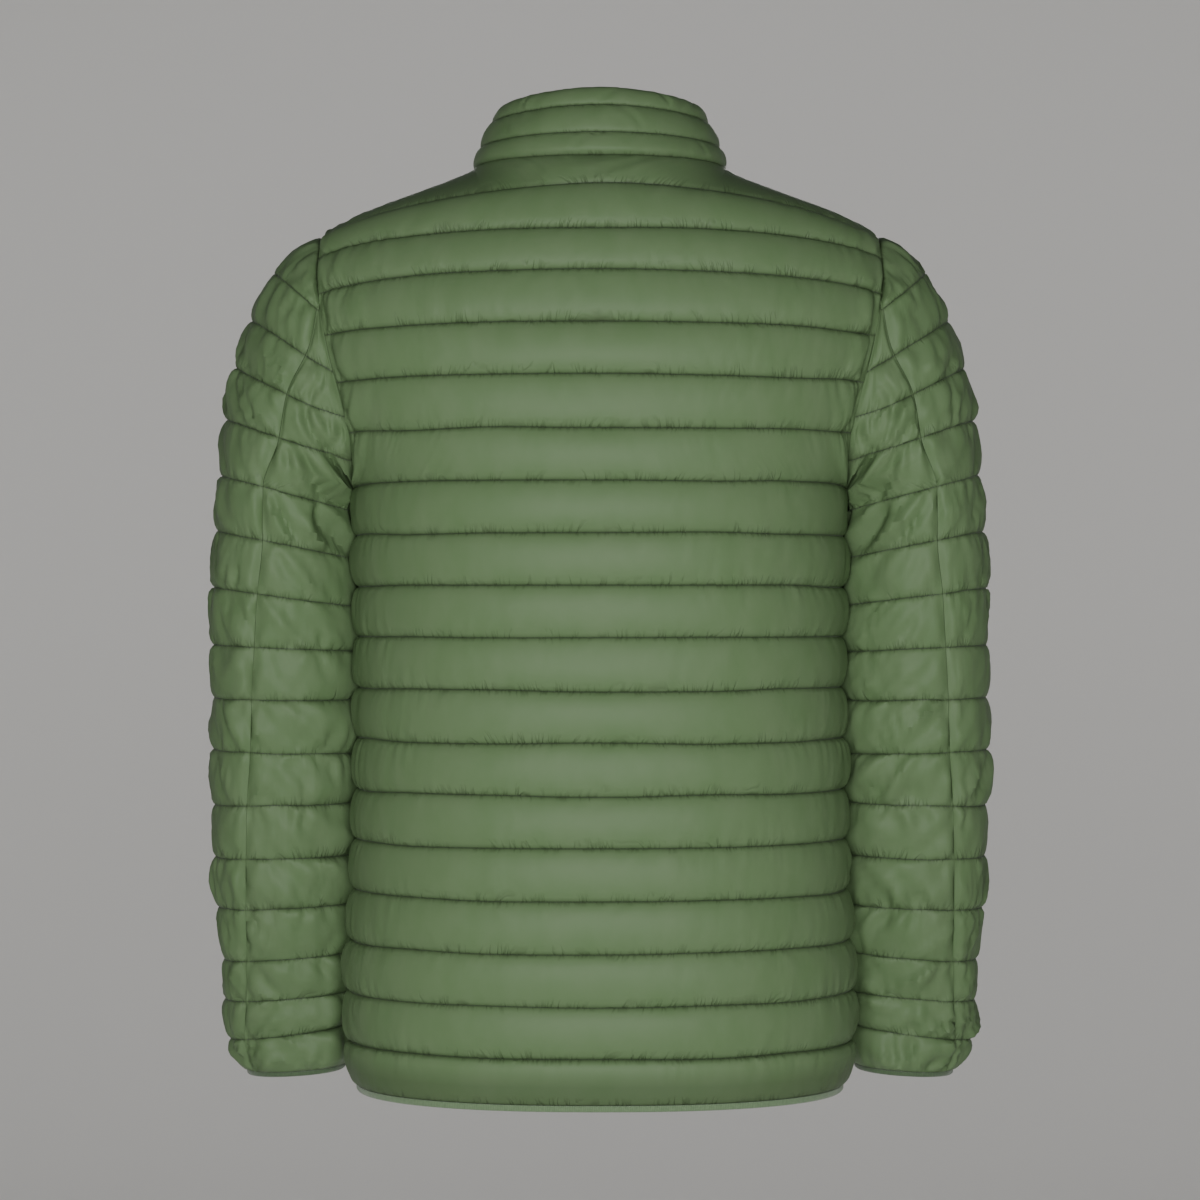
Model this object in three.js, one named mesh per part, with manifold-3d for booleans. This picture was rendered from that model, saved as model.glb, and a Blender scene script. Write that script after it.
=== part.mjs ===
// Puffer jacket: light quilting with a stand collar, filled out as if worn, in millimetres.
// +Z is up, the front faces -Y, the wearer's left is +X, and the origin is at the base of the neck.
import * as THREE from "three";
import Module from "manifold-3d";
import { mergeVertices } from "three/addons/utils/BufferGeometryUtils.js";

// Quilting
const QUILT_PITCH = 38.2;
const YOKE_HEIGHTS = [-22, -56, -87.4];
const LAST_LINE = 18;
const HEM_LINE = 19;
const HEM_HEIGHT = -694;
const SEAM_WALL = 2.2;
const BODY_PUFF = 6.5;
const SLEEVE_PUFF = 5;
const COLLAR_PUFF = 4;
const SEAM_GAP = 0.3;

// How near its edges a padded panel thins out, as shares of its width
const BODY_FADE = 0.06;
const SLEEVE_TOP_FADE = 0.05;
const SLEEVE_UNDER_FADE = 0.08;
const ARMHOLE_FADE = 0.2;

// Puff kept where the padding is pressed: over the shoulder, at the underarm and on the sleeve's inner side
const SHOULDER_PRESS = 0.6;
const UNDERARM_PRESS = { line: 7.3, kept: 0.1, from: 0.8, over: 0.12 };
const SLEEVE_PRESS = { kept: 0.36, from: 0.4, over: 0.3 };

// Neck, shoulders and armholes
const NECK_HALF_WIDTH = 93;
const NECK_BACK = 81;
const NECK_FRONT = 90;
const NECK_FRONT_DROP = 58;
const NECK_CURVE = 2.2;
const NECK_DROP_POWER = 1.6;
const NECK_FLARE = { back: 62, less: 0.9 };
const NECK_LINES = 2;
const NECK_SHARE = 0.4;
const SHOULDER_TIP = { x: 210, z: -53 };
const SHOULDER_SLOPE_POWER = 0.9;
const SHOULDER_ROUND = 105;
const SHOULDER_SAG = 3;
const SHOULDER_OUTWARD = { x: 0.3, y: 0, z: 0.95 };
const BODY_UNDERARM_LINE = 7;
const ARMHOLE_HALF_DEPTH = 68;
const ARMHOLE_CURVE = 2.3;
const ARMHOLE_LEAN = 0.55;
const ARMHOLE_GAP = 0.5;
const UNDERARM_GAP = 1.8;
const FRONT_ARMHOLE_INSET = 18;
const UNDERARM_DROP = 3;

// Collar
const COLLAR_LINES = 3;
const COLLAR_RISE = [0, 0.345, 0.74, 1];
const COLLAR_TOP = { halfWidth: 72, back: 60, front: 94, backHeight: 53.5, sideHeight: 46, frontHeight: 8 };
const COLLAR_BOW = 2.6;
const COLLAR_ARCH_POWER = 1.8;

// Sleeves
const SLEEVE_CURVE = 2.15;
const FORK_TURN = 66;
const UNDERARM_LINE = 4.5;
const FREE_RING = 5;
const SEAM_ANGLE = 0.18;
const ARMHOLE_BLEND = 0.6;
const SLEEVE_END = 17;

// Bindings and zip
const HEM_BAND = { height: 5, wall: 2.4, gather: 0.3 };
const CUFF_BAND = { height: 4, wall: 2, gather: 0.8 };
const BAND_BULGE = 0.4;
const ZIP_FOOT = 1;
const ZIP_HALF_GAP = 4;
const ZIP_HALF_SLIT = 0.2;
const TAPE = { width: 11, wall: 1.1, inside: 0.9 };
const TEETH = { width: 3.1, height: 2.4 };

// The body, a row for each line where its shape is named: depth is from the side seams to the middle,
// curve the exponent of the line's round, turn where it meets the armhole, in degrees from the shoulder tip
const BODY = [
  { line: 0, turn: 0 },
  { line: 1, turn: 21, backDepth: 98, backCurve: 1.6, frontDepth: 71, frontCurve: 1.7, dropPower: 1.8 },
  { line: 2, turn: 40, backDepth: 110, backCurve: 1.9, frontDepth: 90, frontCurve: 1.9, dropPower: 2.5 },
  { line: 3, turn: 63, backDepth: 118, backCurve: 2.1, frontDepth: 106, frontCurve: 2.1, dropPower: 2.3 },
  { line: 4, turn: 82, backDepth: 123, backCurve: 2.3, frontDepth: 119, frontCurve: 2.25, dropPower: 2.5 },
  { line: 5, turn: 98, backDepth: 125.5, backCurve: 2.3, frontDepth: 128, frontCurve: 2.25, dropPower: 3 },
  { line: 6, turn: 121, backDepth: 125.5, backCurve: 2.3, frontDepth: 133, frontCurve: 2.25, dropPower: 4 },
  { line: 7, turn: 180, backDepth: 125, backCurve: 2.3, frontDepth: 136, frontCurve: 2.25, dropPower: 6 },
  { line: 9, backDepth: 122, frontDepth: 138 },
  { line: 12, backDepth: 119, frontDepth: 137 },
  { line: 16, backDepth: 121, frontDepth: 134 },
  { line: 19, backDepth: 117, backCurve: 2.3, frontDepth: 128, frontCurve: 2.25, dropPower: 6 },
];
const SIDE_SEAM = [
  { line: 7, halfWidth: 184 },
  { line: 8, halfWidth: 183 },
  { line: 9, halfWidth: 181.5 },
  { line: 11, halfWidth: 180.5 },
  { line: 13, halfWidth: 182 },
  { line: 15, halfWidth: 184 },
  { line: 17, halfWidth: 189 },
  { line: 18, halfWidth: 188 },
  { line: 19, halfWidth: 183 },
];
const ARMHOLE_WIDTH = [
  { drop: 0, halfWidth: 210 },
  { drop: 27, halfWidth: 210 },
  { drop: 57, halfWidth: 207 },
  { drop: 96, halfWidth: 199 },
  { drop: 134, halfWidth: 189 },
  { drop: 157, halfWidth: 185 },
  { drop: 190, halfWidth: 184 },
];

// The sleeve, a row for each ring: its outer and inner ends, how far back its middle is, its half depth, and
// the angles of its seams, in degrees from its outer end
const SLEEVE = [
  { line: 1, outX: 246, outZ: -80, inX: 168, inZ: -148, backY: 0, depth: 66, backSeam: 86, frontSeam: 86 },
  { line: 2, outX: 263, outZ: -116, inX: 147, inZ: -193, backY: 0, depth: 67, backSeam: 78, frontSeam: 80 },
  { line: 3, outX: 275, outZ: -152, inX: 153, inZ: -216, backY: 0, depth: 66, backSeam: 74, frontSeam: 80 },
  { line: 4, outX: 282, outZ: -191, inX: 166, inZ: -232, backY: -1, depth: 63, backSeam: 77, frontSeam: 84 },
  { line: 5, outX: 286, outZ: -233, inX: 201, inZ: -256, backY: -3, depth: 58, backSeam: 81, frontSeam: 88 },
  { line: 6, outX: 290, outZ: -275, inX: 198, inZ: -293, backY: -6, depth: 55, backSeam: 81, frontSeam: 92 },
  { line: 7, outX: 293, outZ: -318, inX: 196, inZ: -330, backY: -9, depth: 53, backSeam: 77, frontSeam: 95 },
  { line: 8, outX: 294, outZ: -361, inX: 195, inZ: -366, backY: -13, depth: 52, backSeam: 74, frontSeam: 95 },
  { line: 9, outX: 294, outZ: -402, inX: 195, inZ: -403, backY: -17, depth: 51, backSeam: 71, frontSeam: 95 },
  { line: 10, outX: 295, outZ: -441, inX: 196, inZ: -445, backY: -22, depth: 50, backSeam: 70, frontSeam: 95 },
  { line: 11, outX: 295, outZ: -484, inX: 196.5, inZ: -482, backY: -28, depth: 49, backSeam: 66, frontSeam: 95 },
  { line: 12, outX: 295, outZ: -525, inX: 197, inZ: -523, backY: -34, depth: 47, backSeam: 64, frontSeam: 95 },
  { line: 13, outX: 293.5, outZ: -565, inX: 197, inZ: -562, backY: -41, depth: 45, backSeam: 61, frontSeam: 95 },
  { line: 14, outX: 290, outZ: -606, inX: 198, inZ: -600, backY: -48, depth: 43, backSeam: 57, frontSeam: 95 },
  { line: 15, outX: 290, outZ: -638, inX: 199, inZ: -631, backY: -54, depth: 41, backSeam: 55, frontSeam: 95 },
  { line: 16, outX: 286.5, outZ: -669, inX: 199, inZ: -658, backY: -59, depth: 38, backSeam: 46, frontSeam: 95 },
  { line: 17, outX: 275, outZ: -694, inX: 202, inZ: -690, backY: -62, depth: 34, backSeam: 38, frontSeam: 95 },
];
// Above the underarm a ring stops at the armhole: at this angle of its own, where the armhole has this turn
const SLEEVE_MEETS = [
  { line: 1, meet: 90, turn: 70 },
  { line: 2, meet: 100, turn: 94 },
  { line: 3, meet: 107, turn: 113 },
  { line: 4, meet: 120, turn: 138 },
  { line: 4.5, meet: 180, turn: 180 },
];

// Steps across each panel, closer at seams, and down each channel
const BACK_HALF_SHARES = [0, 0.1, 0.2, 0.3, 0.4, 0.5, 0.6, 0.7, 0.8, 0.88, 0.95, 1];
const FRONT_SHARES = [0, 0.05, 0.16, 0.3, 0.44, 0.58, 0.72, 0.85, 0.95, 1];
const SLEEVE_TOP_SHARES = [0, 0.04, 0.14, 0.26, 0.38, 0.5, 0.62, 0.74, 0.86, 0.96, 1];
const SLEEVE_UNDER_SHARES = [0, 0.07, 0.3, 0.55, 0.8, 1];
const CHANNEL_STEPS = [0, 0.22, 0.78, 1];
const UNDERARM_CHANNEL_STEPS = [0, 0.15, 0.3, 0.45, 0.6, 0.8, 1];
const LOBE_CHANNEL_STEPS = [0, 0.125, 0.25, 0.375, 0.5, 0.75, 1];
const LOBE_TOP = 1.1;

const UP = new THREE.Vector3(0, 0, 1);
const TURN = Math.PI / 180;
const SLOPE_STEP = 0.004;
const point = (x, y, z) => new THREE.Vector3(x, y, z);
const mix = THREE.MathUtils.lerp;
const clamp01 = (value) => Math.min(1, Math.max(0, value));
const signedPower = (value, power) => Math.sign(value) * Math.abs(value) ** power;

// A smooth curve through one column of a table that never swings past its values
function column(table, name, key = "line") {
  const rows = table.filter((row) => name in row);
  const slope = (i) => {
    return (rows[i + 1][name] - rows[i][name]) / (rows[i + 1][key] - rows[i][key]);
  };
  const tangent = (i) => {
    if (i === 0) return slope(0);
    if (i === rows.length - 1) return slope(i - 1);
    const [before, after] = [slope(i - 1), slope(i)];
    return before * after <= 0 ? 0 : (2 * before * after) / (before + after);
  };
  return (place) => {
    if (place <= rows[0][key]) return rows[0][name];
    if (place >= rows.at(-1)[key]) return rows.at(-1)[name];
    const i = rows.findIndex((row) => row[key] > place) - 1;
    const span = rows[i + 1][key] - rows[i][key];
    const s = (place - rows[i][key]) / span;
    const from = rows[i][name] * (1 + 2 * s) * (1 - s) ** 2 + tangent(i) * span * s * (1 - s) ** 2;
    const to = rows[i + 1][name] * s * s * (3 - 2 * s) - tangent(i + 1) * span * s * s * (1 - s);
    return from + to;
  };
}

const columns = (table, names) => Object.fromEntries(names.map((name) => [name, column(table, name)]));
const body = columns(BODY, ["turn", "backDepth", "backCurve", "frontDepth", "frontCurve", "dropPower"]);
const sideWidth = column(SIDE_SEAM, "halfWidth");
const armholeWidth = column(ARMHOLE_WIDTH, "halfWidth", "drop");
const sleeve = columns(SLEEVE, ["outX", "outZ", "inX", "inZ", "backY", "depth", "backSeam", "frontSeam"]);
const meets = columns(SLEEVE_MEETS, ["meet", "turn"]);

// Height of a quilting line at the middle of the body
function lineHeight(line) {
  const [first, second, third] = YOKE_HEIGHTS;
  if (line < 2) return mix(first, second, line - 1);
  if (line < 3) return mix(second, third, line - 2);
  const regular = third - QUILT_PITCH * (Math.min(line, LAST_LINE) - 3);
  return line <= LAST_LINE ? regular : mix(regular, HEM_HEIGHT, line - LAST_LINE);
}

const UNDERARM_HEIGHT = lineHeight(BODY_UNDERARM_LINE) - UNDERARM_DROP;

// A point of the left armhole, turned from the shoulder tip down the back, 1, or the front, -1
function armholePoint(turn, side) {
  const half = (SHOULDER_TIP.z - UNDERARM_HEIGHT) / 2;
  const out = signedPower(Math.sin(turn * TURN), 2 / ARMHOLE_CURVE);
  const up = signedPower(Math.cos(turn * TURN), 2 / ARMHOLE_CURVE);
  const inset = side < 0 ? FRONT_ARMHOLE_INSET * out * out * (0.5 + 0.5 * up) : 0;
  const drop = half * (1 - up);
  return point(armholeWidth(drop) - inset, side * ARMHOLE_HALF_DEPTH * out, SHOULDER_TIP.z - drop);
}

// The way a wall stands out at the armhole seam, halfway between the body's and the sleeve's
function armholeOutward(turn, side) {
  return point(ARMHOLE_LEAN, side * Math.sin(turn * TURN), Math.cos(turn * TURN)).normalize();
}

// A point of the left half of the neck seam, from the middle of the back, 0, to the zip, 1
function neckPoint(share) {
  const angle = (share < 0.5 ? share : share - 0.5) * Math.PI;
  const [sine, cosine] = [Math.sin(angle), Math.max(0, Math.cos(angle))].map((v) => v ** (2 / NECK_CURVE));
  if (share < 0.5) return point(NECK_HALF_WIDTH * sine, NECK_BACK * cosine, 0);
  const x = ZIP_HALF_GAP + (NECK_HALF_WIDTH - ZIP_HALF_GAP) * cosine;
  return point(x, -NECK_FRONT * sine, -NECK_FRONT_DROP * sine ** NECK_DROP_POWER);
}

// A point of the left shoulder seam, from the neck, 0, to the tip, 1
function shoulderPoint(share) {
  const height = SHOULDER_TIP.z * share ** SHOULDER_SLOPE_POWER;
  return point(mix(NECK_HALF_WIDTH, SHOULDER_TIP.x, share), 0, height);
}

// Where a line of the body starts, at the middle or the neck, and ends, at the armhole or the side seam
function lineStart(line, side) {
  if (side > 0) return point(0, 0, lineHeight(line));
  if (line < NECK_LINES) return neckPoint((1 + line / NECK_LINES) / 2);
  return point(ZIP_HALF_GAP, 0, frontHeight(line));
}

function frontHeight(line) {
  const settled = 3;
  return line >= settled ? lineHeight(line) : mix(-NECK_FRONT_DROP, lineHeight(settled), line - NECK_LINES);
}

function lineEnd(line, side) {
  if (line < BODY_UNDERARM_LINE) return armholePoint(body.turn(line), side);
  const drop = UNDERARM_DROP * Math.max(0, BODY_UNDERARM_LINE + 1 - line) ** 2;
  return point(sideWidth(line), 0, lineHeight(line) - drop);
}

// A point of one line of the left half of the body
function linePoint(line, share, side) {
  const [start, end] = [lineStart(line, side), lineEnd(line, side)];
  const depth = side > 0 ? body.backDepth(line) : body.frontDepth(line);
  const curve = side > 0 ? body.backCurve(line) : body.frontCurve(line);
  const wide = end.x / (1 - (Math.abs(end.y) / depth) ** curve) ** (1 / curve);
  const angleAt = (x) => Math.asin(Math.min(1, (x / wide) ** (curve / 2)));
  const angle = mix(angleAt(start.x), angleAt(end.x), share);
  const x = wide * Math.sin(angle) ** (2 / curve);
  const y = side * depth * Math.max(0, Math.cos(angle)) ** (2 / curve);
  return point(x, y, mix(start.z, end.z, share ** body.dropPower(line)));
}

// The back's top edge: half the neck seam, then the shoulder seam
function backTop(share) {
  if (share < NECK_SHARE) return neckPoint(share / NECK_SHARE / 2);
  return shoulderPoint((share - NECK_SHARE) / (1 - NECK_SHARE));
}

// The first channel, rounded over the shoulder from its seam down to line 1
function shoulderChannel(line, share, side) {
  const top = side > 0 ? backTop(share) : shoulderPoint(share);
  const across = linePoint(1, share, side).sub(top);
  const along = across.clone().normalize();
  const swell = UP.clone().addScaledVector(along, -along.z).normalize();
  const sag = Math.min(SHOULDER_SAG, across.lengthSq() / 8 / SHOULDER_ROUND);
  return top.addScaledVector(across, line).addScaledVector(swell, sag * 4 * line * (1 - line));
}

// A point of the left half of the body's inside, moved at the neck and armhole onto their seams
function bodyPoint(line, share, side) {
  const raw = (at) => (line < 1 ? shoulderChannel(line, at, side) : linePoint(line, at, side));
  const place = raw(share);
  if (line < 1) place.addScaledVector(armholePoint(body.turn(line), side).sub(raw(1)), share ** 4);
  if (side < 0 && line < NECK_LINES) place.addScaledVector(lineStart(line, side).sub(raw(0)), (1 - share) ** 3);
  return place;
}

// The left collar's inside, from the neck seam, line 0, to the top edge
function collarPoint(line, share) {
  const i = Math.min(COLLAR_LINES - 1, Math.floor(line));
  const height = mix(COLLAR_RISE[i], COLLAR_RISE[i + 1], line - i);
  const angle = (share < 0.5 ? share : share - 0.5) * Math.PI;
  const [sine, cosine] = [Math.sin(angle), Math.max(0, Math.cos(angle))].map((v) => v ** (2 / NECK_CURVE));
  const { halfWidth, back, front, backHeight, sideHeight, frontHeight: low } = COLLAR_TOP;
  const arch = sine ** COLLAR_ARCH_POWER;
  const top = point(halfWidth * sine, back * cosine, mix(backHeight, sideHeight, arch));
  if (share >= 0.5) {
    const dip = sine ** NECK_DROP_POWER;
    top.set(mix(ZIP_HALF_GAP, halfWidth, cosine), -front * sine, mix(sideHeight, low, dip));
  }
  const bottom = neckPoint(share);
  const outward = point(bottom.x / NECK_HALF_WIDTH, bottom.y / NECK_BACK, 0).normalize();
  return bottom.lerp(top, height).addScaledVector(outward, COLLAR_BOW * 4 * height * (1 - height));
}

// A point of a sleeve ring; angle 0 is its outer end, and positive angles go round by the back
function ringPoint(line, angle) {
  const middle = point((sleeve.outX(line) + sleeve.inX(line)) / 2, sleeve.backY(line), 0);
  middle.z = (sleeve.outZ(line) + sleeve.inZ(line)) / 2;
  const out = point(sleeve.outX(line) - sleeve.inX(line), 0, sleeve.outZ(line) - sleeve.inZ(line)).divideScalar(2);
  const across = signedPower(Math.sin(angle * TURN), 2 / SLEEVE_CURVE) * sleeve.depth(line);
  middle.y += across;
  return middle.addScaledVector(out, signedPower(Math.cos(angle * TURN), 2 / SLEEVE_CURVE));
}

// The angle of a place on the outer panel, whose edges stand off the seams by the seam angle
function topAngle(line, share) {
  const from = Math.max(1, line);
  return mix(-(sleeve.frontSeam(from) - SEAM_ANGLE), sleeve.backSeam(from) - SEAM_ANGLE, share);
}

// A point of the left sleeve's outer panel, from the front seam, 0, to the back seam, 1
function sleeveTopPoint(line, share) {
  const ring = ringPoint(Math.max(1, line), topAngle(line, share));
  if (line >= 1) return ring;
  const turn = mix(-FORK_TURN, FORK_TURN, share);
  const side = Math.sign(turn) || 1;
  const start = armholePoint(Math.abs(turn), side);
  const across = ring.sub(start);
  const along = across.clone().normalize();
  const outward = armholeOutward(Math.abs(turn), side);
  const swell = outward.addScaledVector(along, -along.dot(outward)).normalize();
  const sag = across.lengthSq() / 8 / SHOULDER_ROUND;
  return start.addScaledVector(across, line).addScaledVector(swell, sag * 4 * line * (1 - line));
}

// A point of the left sleeve's under panel, from its seam, 0, to the armhole or the underarm line, 1
function sleeveUnderPoint(line, share, side) {
  const seam = (side > 0 ? sleeve.backSeam(line) : sleeve.frontSeam(line)) + SEAM_ANGLE;
  const place = ringPoint(line, side * mix(seam, meets.meet(line), share));
  const level = Math.min(line, UNDERARM_LINE);
  const missed = armholePoint(meets.turn(level), side).sub(ringPoint(level, side * meets.meet(level)));
  const fade = clamp01((FREE_RING - line) / (FREE_RING - UNDERARM_LINE)) ** 2;
  return place.addScaledVector(missed, share * share * fade);
}

// The way out of a surface at a place, from its slopes, on the same side as the hint
function outwardOf(surface, line, share, hint) {
  const down = surface(line + SLOPE_STEP, share).sub(surface(Math.max(0, line - SLOPE_STEP), share));
  const [low, high] = [Math.max(0, share - SLOPE_STEP), Math.min(1, share + SLOPE_STEP)];
  const across = surface(line, high).sub(surface(line, low));
  const out = down.cross(across).normalize();
  return out.dot(hint) < 0 ? out.negate() : out;
}

// How high a channel stands between its two lines, and how far the padding thins towards a seam
const channelLift = (line) => Math.sqrt(Math.max(0, 4 * (line % 1) * (1 - (line % 1))));
const seamFade = (distance, reach) => 1 - (1 - clamp01(distance / reach)) ** 2;

// Puts one place of a quilted wall together: its inner point, and its outer point over the seam wall and puff
function quilted(inner, outward, puff) {
  return { inner, outer: inner.clone().addScaledVector(outward, SEAM_WALL + puff) };
}

function bodyPlace(line, share, side) {
  const surface = (l, s) => bodyPoint(Math.min(HEM_LINE, l), s, side);
  const inner = surface(line, share);
  const outward = outwardOf(surface, line, share, point(inner.x, inner.y, line < 3 ? 60 : 0));
  if (share === 0) outward.setX(0).normalize();
  if (line === HEM_LINE) outward.setZ(0).normalize();
  if (line === 0) {
    const neck = side > 0 && share <= NECK_SHARE;
    outward.copy(neck ? neckOutward(share / NECK_SHARE / 2) : SHOULDER_OUTWARD).normalize();
  }
  const [atEnd, belowArm] = [share === 1, line > BODY_UNDERARM_LINE];
  if (atEnd) outward.copy(belowArm ? point(1, 0, 0) : armholeOutward(body.turn(line), side));
  if (side < 0 && share === 0 && line < NECK_LINES) outward.copy(neckOutward((1 + line / NECK_LINES) / 2));
  const { line: pressLine, kept, from, over } = UNDERARM_PRESS;
  const near = clamp01(1 - Math.abs(line - pressLine)) * clamp01((share - from) / over);
  const opened = side < 0 ? seamFade(share, BODY_FADE) : 1;
  const puff = BODY_PUFF * channelLift(line) * seamFade(1 - share, BODY_FADE) * opened * mix(1, kept, near);
  if (line === 0 || (atEnd && line >= BODY_UNDERARM_LINE)) inner.y += (side * SEAM_GAP) / 2;
  return quilted(inner, outward, line < 1 ? puff * SHOULDER_PRESS : puff);
}

// The way the walls stand out along the neck seam, halfway between the body's and the collar's
function neckOutward(share) {
  const seam = neckPoint(share);
  return point(seam.x, seam.y, NECK_FLARE.back * (1 - clamp01(share - 0.5) * NECK_FLARE.less)).normalize();
}

function collarPlace(line, share) {
  const inner = collarPoint(line, share);
  const outward = outwardOf((l, s) => collarPoint(Math.min(COLLAR_LINES, l), s), line, share, inner);
  if (share === 0 || share === 1) outward.setX(0).normalize();
  if (line === 0) {
    outward.copy(neckOutward(share));
    const [before, after] = [Math.max(0, share - SLOPE_STEP), Math.min(1, share + SLOPE_STEP)];
    const along = neckPoint(after).sub(neckPoint(before));
    const clear = along.cross(outward).normalize();
    inner.addScaledVector(clear, clear.z < 0 ? -SEAM_GAP : SEAM_GAP);
  }
  return quilted(inner, outward, COLLAR_PUFF * channelLift(line) * seamFade(1 - share, BODY_FADE));
}

// How far the sleeve's edge stands off the body's edge at the armhole, and which way
function clearOfArmhole(turn, side) {
  const along = armholePoint(turn + 1, side).sub(armholePoint(Math.max(0, turn - 1), side));
  const clear = along.cross(armholeOutward(turn, side)).normalize();
  const tight = clamp01((turn - 120) / 60);
  return clear.multiplyScalar(Math.sign(clear.x) * mix(ARMHOLE_GAP, UNDERARM_GAP, tight));
}

function ringOutward(line, angle) {
  const a = Math.hypot(sleeve.outX(line) - sleeve.inX(line), sleeve.outZ(line) - sleeve.inZ(line)) / 2;
  const tilt = Math.atan2(sleeve.outZ(line) - sleeve.inZ(line), sleeve.outX(line) - sleeve.inX(line));
  const power = (2 / SLEEVE_CURVE) * (SLEEVE_CURVE - 1);
  const out = signedPower(Math.cos(angle * TURN), power) / a;
  const back = signedPower(Math.sin(angle * TURN), power) / sleeve.depth(line);
  return point(out * Math.cos(tilt), back, out * Math.sin(tilt)).normalize();
}

function sleeveTopPlace(line, share) {
  const inner = sleeveTopPoint(line, share);
  const outward = ringOutward(Math.max(1, line), topAngle(line, share));
  if (line < 1) {
    const turn = mix(-FORK_TURN, FORK_TURN, share);
    const side = Math.sign(turn) || 1;
    outward.lerp(armholeOutward(Math.abs(turn), side), clamp01(1 - line / ARMHOLE_BLEND)).normalize();
    if (line === 0) inner.add(clearOfArmhole(Math.abs(turn), side));
  }
  const puff = SLEEVE_PUFF * channelLift(line) * seamFade(Math.min(share, 1 - share), SLEEVE_TOP_FADE);
  return quilted(inner, outward, puff);
}

function sleeveUnderPlace(line, share, side) {
  const inner = sleeveUnderPoint(line, share, side);
  const seam = side > 0 ? sleeve.backSeam(line) : sleeve.frontSeam(line);
  const outward = ringOutward(line, side * mix(seam, meets.meet(line), share));
  const edge = armholeOutward(meets.turn(Math.min(line, UNDERARM_LINE)), side);
  const nearEdge = line <= UNDERARM_LINE ? 1 : clamp01((FREE_RING - line) / (FREE_RING - UNDERARM_LINE));
  outward.lerp(edge, clamp01((share - ARMHOLE_BLEND) / (1 - ARMHOLE_BLEND)) * nearEdge).normalize();
  if (share === 1 && line <= UNDERARM_LINE) inner.add(clearOfArmhole(meets.turn(line), side));
  const arm = line < FREE_RING ? seamFade(1 - share, ARMHOLE_FADE) : 1;
  const pressed = mix(1, SLEEVE_PRESS.kept, clamp01((share - SLEEVE_PRESS.from) / SLEEVE_PRESS.over));
  const puff = SLEEVE_PUFF * channelLift(line) * seamFade(share, SLEEVE_UNDER_FADE) * arm * pressed;
  return quilted(inner, outward, puff);
}

// Collects triangles whose corners are shared wherever they are at the same place
class Wall {
  positions = [];
  triangles = [];
  seen = new Map();

  vertex(place) {
    const key = place.toArray().map((value) => Math.round(value * 1e4)).join();
    if (!this.seen.has(key)) {
      this.seen.set(key, this.positions.length / 3);
      this.positions.push(...place.toArray());
    }
    return this.seen.get(key);
  }

  triangle(a, b, c) {
    if (a !== b && b !== c && c !== a) this.triangles.push(a, b, c);
  }

  quad(a, b, c, d) {
    this.triangle(a, b, c);
    this.triangle(a, c, d);
  }

  geometry(mirrored = false) {
    const positions = new Float32Array(this.positions);
    if (mirrored) positions.forEach((value, i) => (positions[i] = i % 3 === 0 ? -value : value));
    const corner = (i) => new THREE.Vector3().fromArray(positions, this.triangles[i] * 3);
    let volume = 0;
    for (let i = 0; i < this.triangles.length; i += 3) {
      volume += corner(i).dot(corner(i + 1).cross(corner(i + 2)));
    }
    const order = volume < 0 ? [0, 2, 1] : [0, 1, 2];
    const index = this.triangles.map((_, i) => this.triangles[i - (i % 3) + order[i % 3]]);
    const geometry = new THREE.BufferGeometry();
    geometry.setAttribute("position", new THREE.BufferAttribute(positions, 3));
    geometry.setIndex(index);
    geometry.computeVertexNormals();
    return geometry;
  }
}

// Adds one patch of wall: places across on each line, the inside only on the lines named, the outside on
// every step between them, and rims along its top, its bottom and the stretches of its two sides that are given
function addPatch(wall, { lines, steps, shares, place, rims }) {
  const row = (line) => {
    const across = shares.map((share) => place(line, share));
    return { inner: across.map((p) => wall.vertex(p.inner)), outer: across.map((p) => wall.vertex(p.outer)) };
  };
  const last = shares.length - 1;
  const rimmed = (stretch, from, to) => stretch && from >= stretch[0] && to <= stretch[1];
  lines.slice(1).forEach((to, i) => {
    const from = lines[i];
    const rows = steps.filter((line) => line >= from && line <= to).map(row);
    const [top, bottom] = [rows[0], rows.at(-1)];
    for (let j = 0; j < last; j += 1) {
      for (let r = 1; r < rows.length; r += 1) {
        const [upper, lower] = [rows[r - 1].outer, rows[r].outer];
        wall.quad(upper[j], lower[j], lower[j + 1], upper[j + 1]);
      }
      wall.quad(top.inner[j], top.inner[j + 1], bottom.inner[j + 1], bottom.inner[j]);
      if (from === lines[0] && rims.top) {
        wall.quad(top.outer[j], top.outer[j + 1], top.inner[j + 1], top.inner[j]);
      }
      if (to === lines.at(-1) && rims.bottom) {
        wall.quad(bottom.outer[j + 1], bottom.outer[j], bottom.inner[j], bottom.inner[j + 1]);
      }
    }
    const half = Math.floor(rows.length / 2);
    const fan = (j, turned) => {
      const add = (a, b, c) => (turned ? wall.triangle(b, a, c) : wall.triangle(a, b, c));
      for (let r = 1; r < rows.length; r += 1) {
        add(rows[r].outer[j], rows[r - 1].outer[j], r <= half ? top.inner[j] : bottom.inner[j]);
      }
      add(top.inner[j], bottom.inner[j], rows[half].outer[j]);
    };
    if (rimmed(rims.start, from, to)) fan(0, false);
    if (rimmed(rims.end, from, to)) fan(last, true);
  });
}

// Every step of the lines between two lines, with finer steps in one channel
function stepsBetween(from, to, fineLine, fineSteps) {
  const steps = [from];
  for (let line = Math.floor(from); line < to; line += 1) {
    const channel = line === fineLine ? fineSteps : CHANNEL_STEPS;
    steps.push(...channel.map((step) => line + step).filter((at) => at > steps.at(-1) && at <= to));
  }
  return steps;
}

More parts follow.
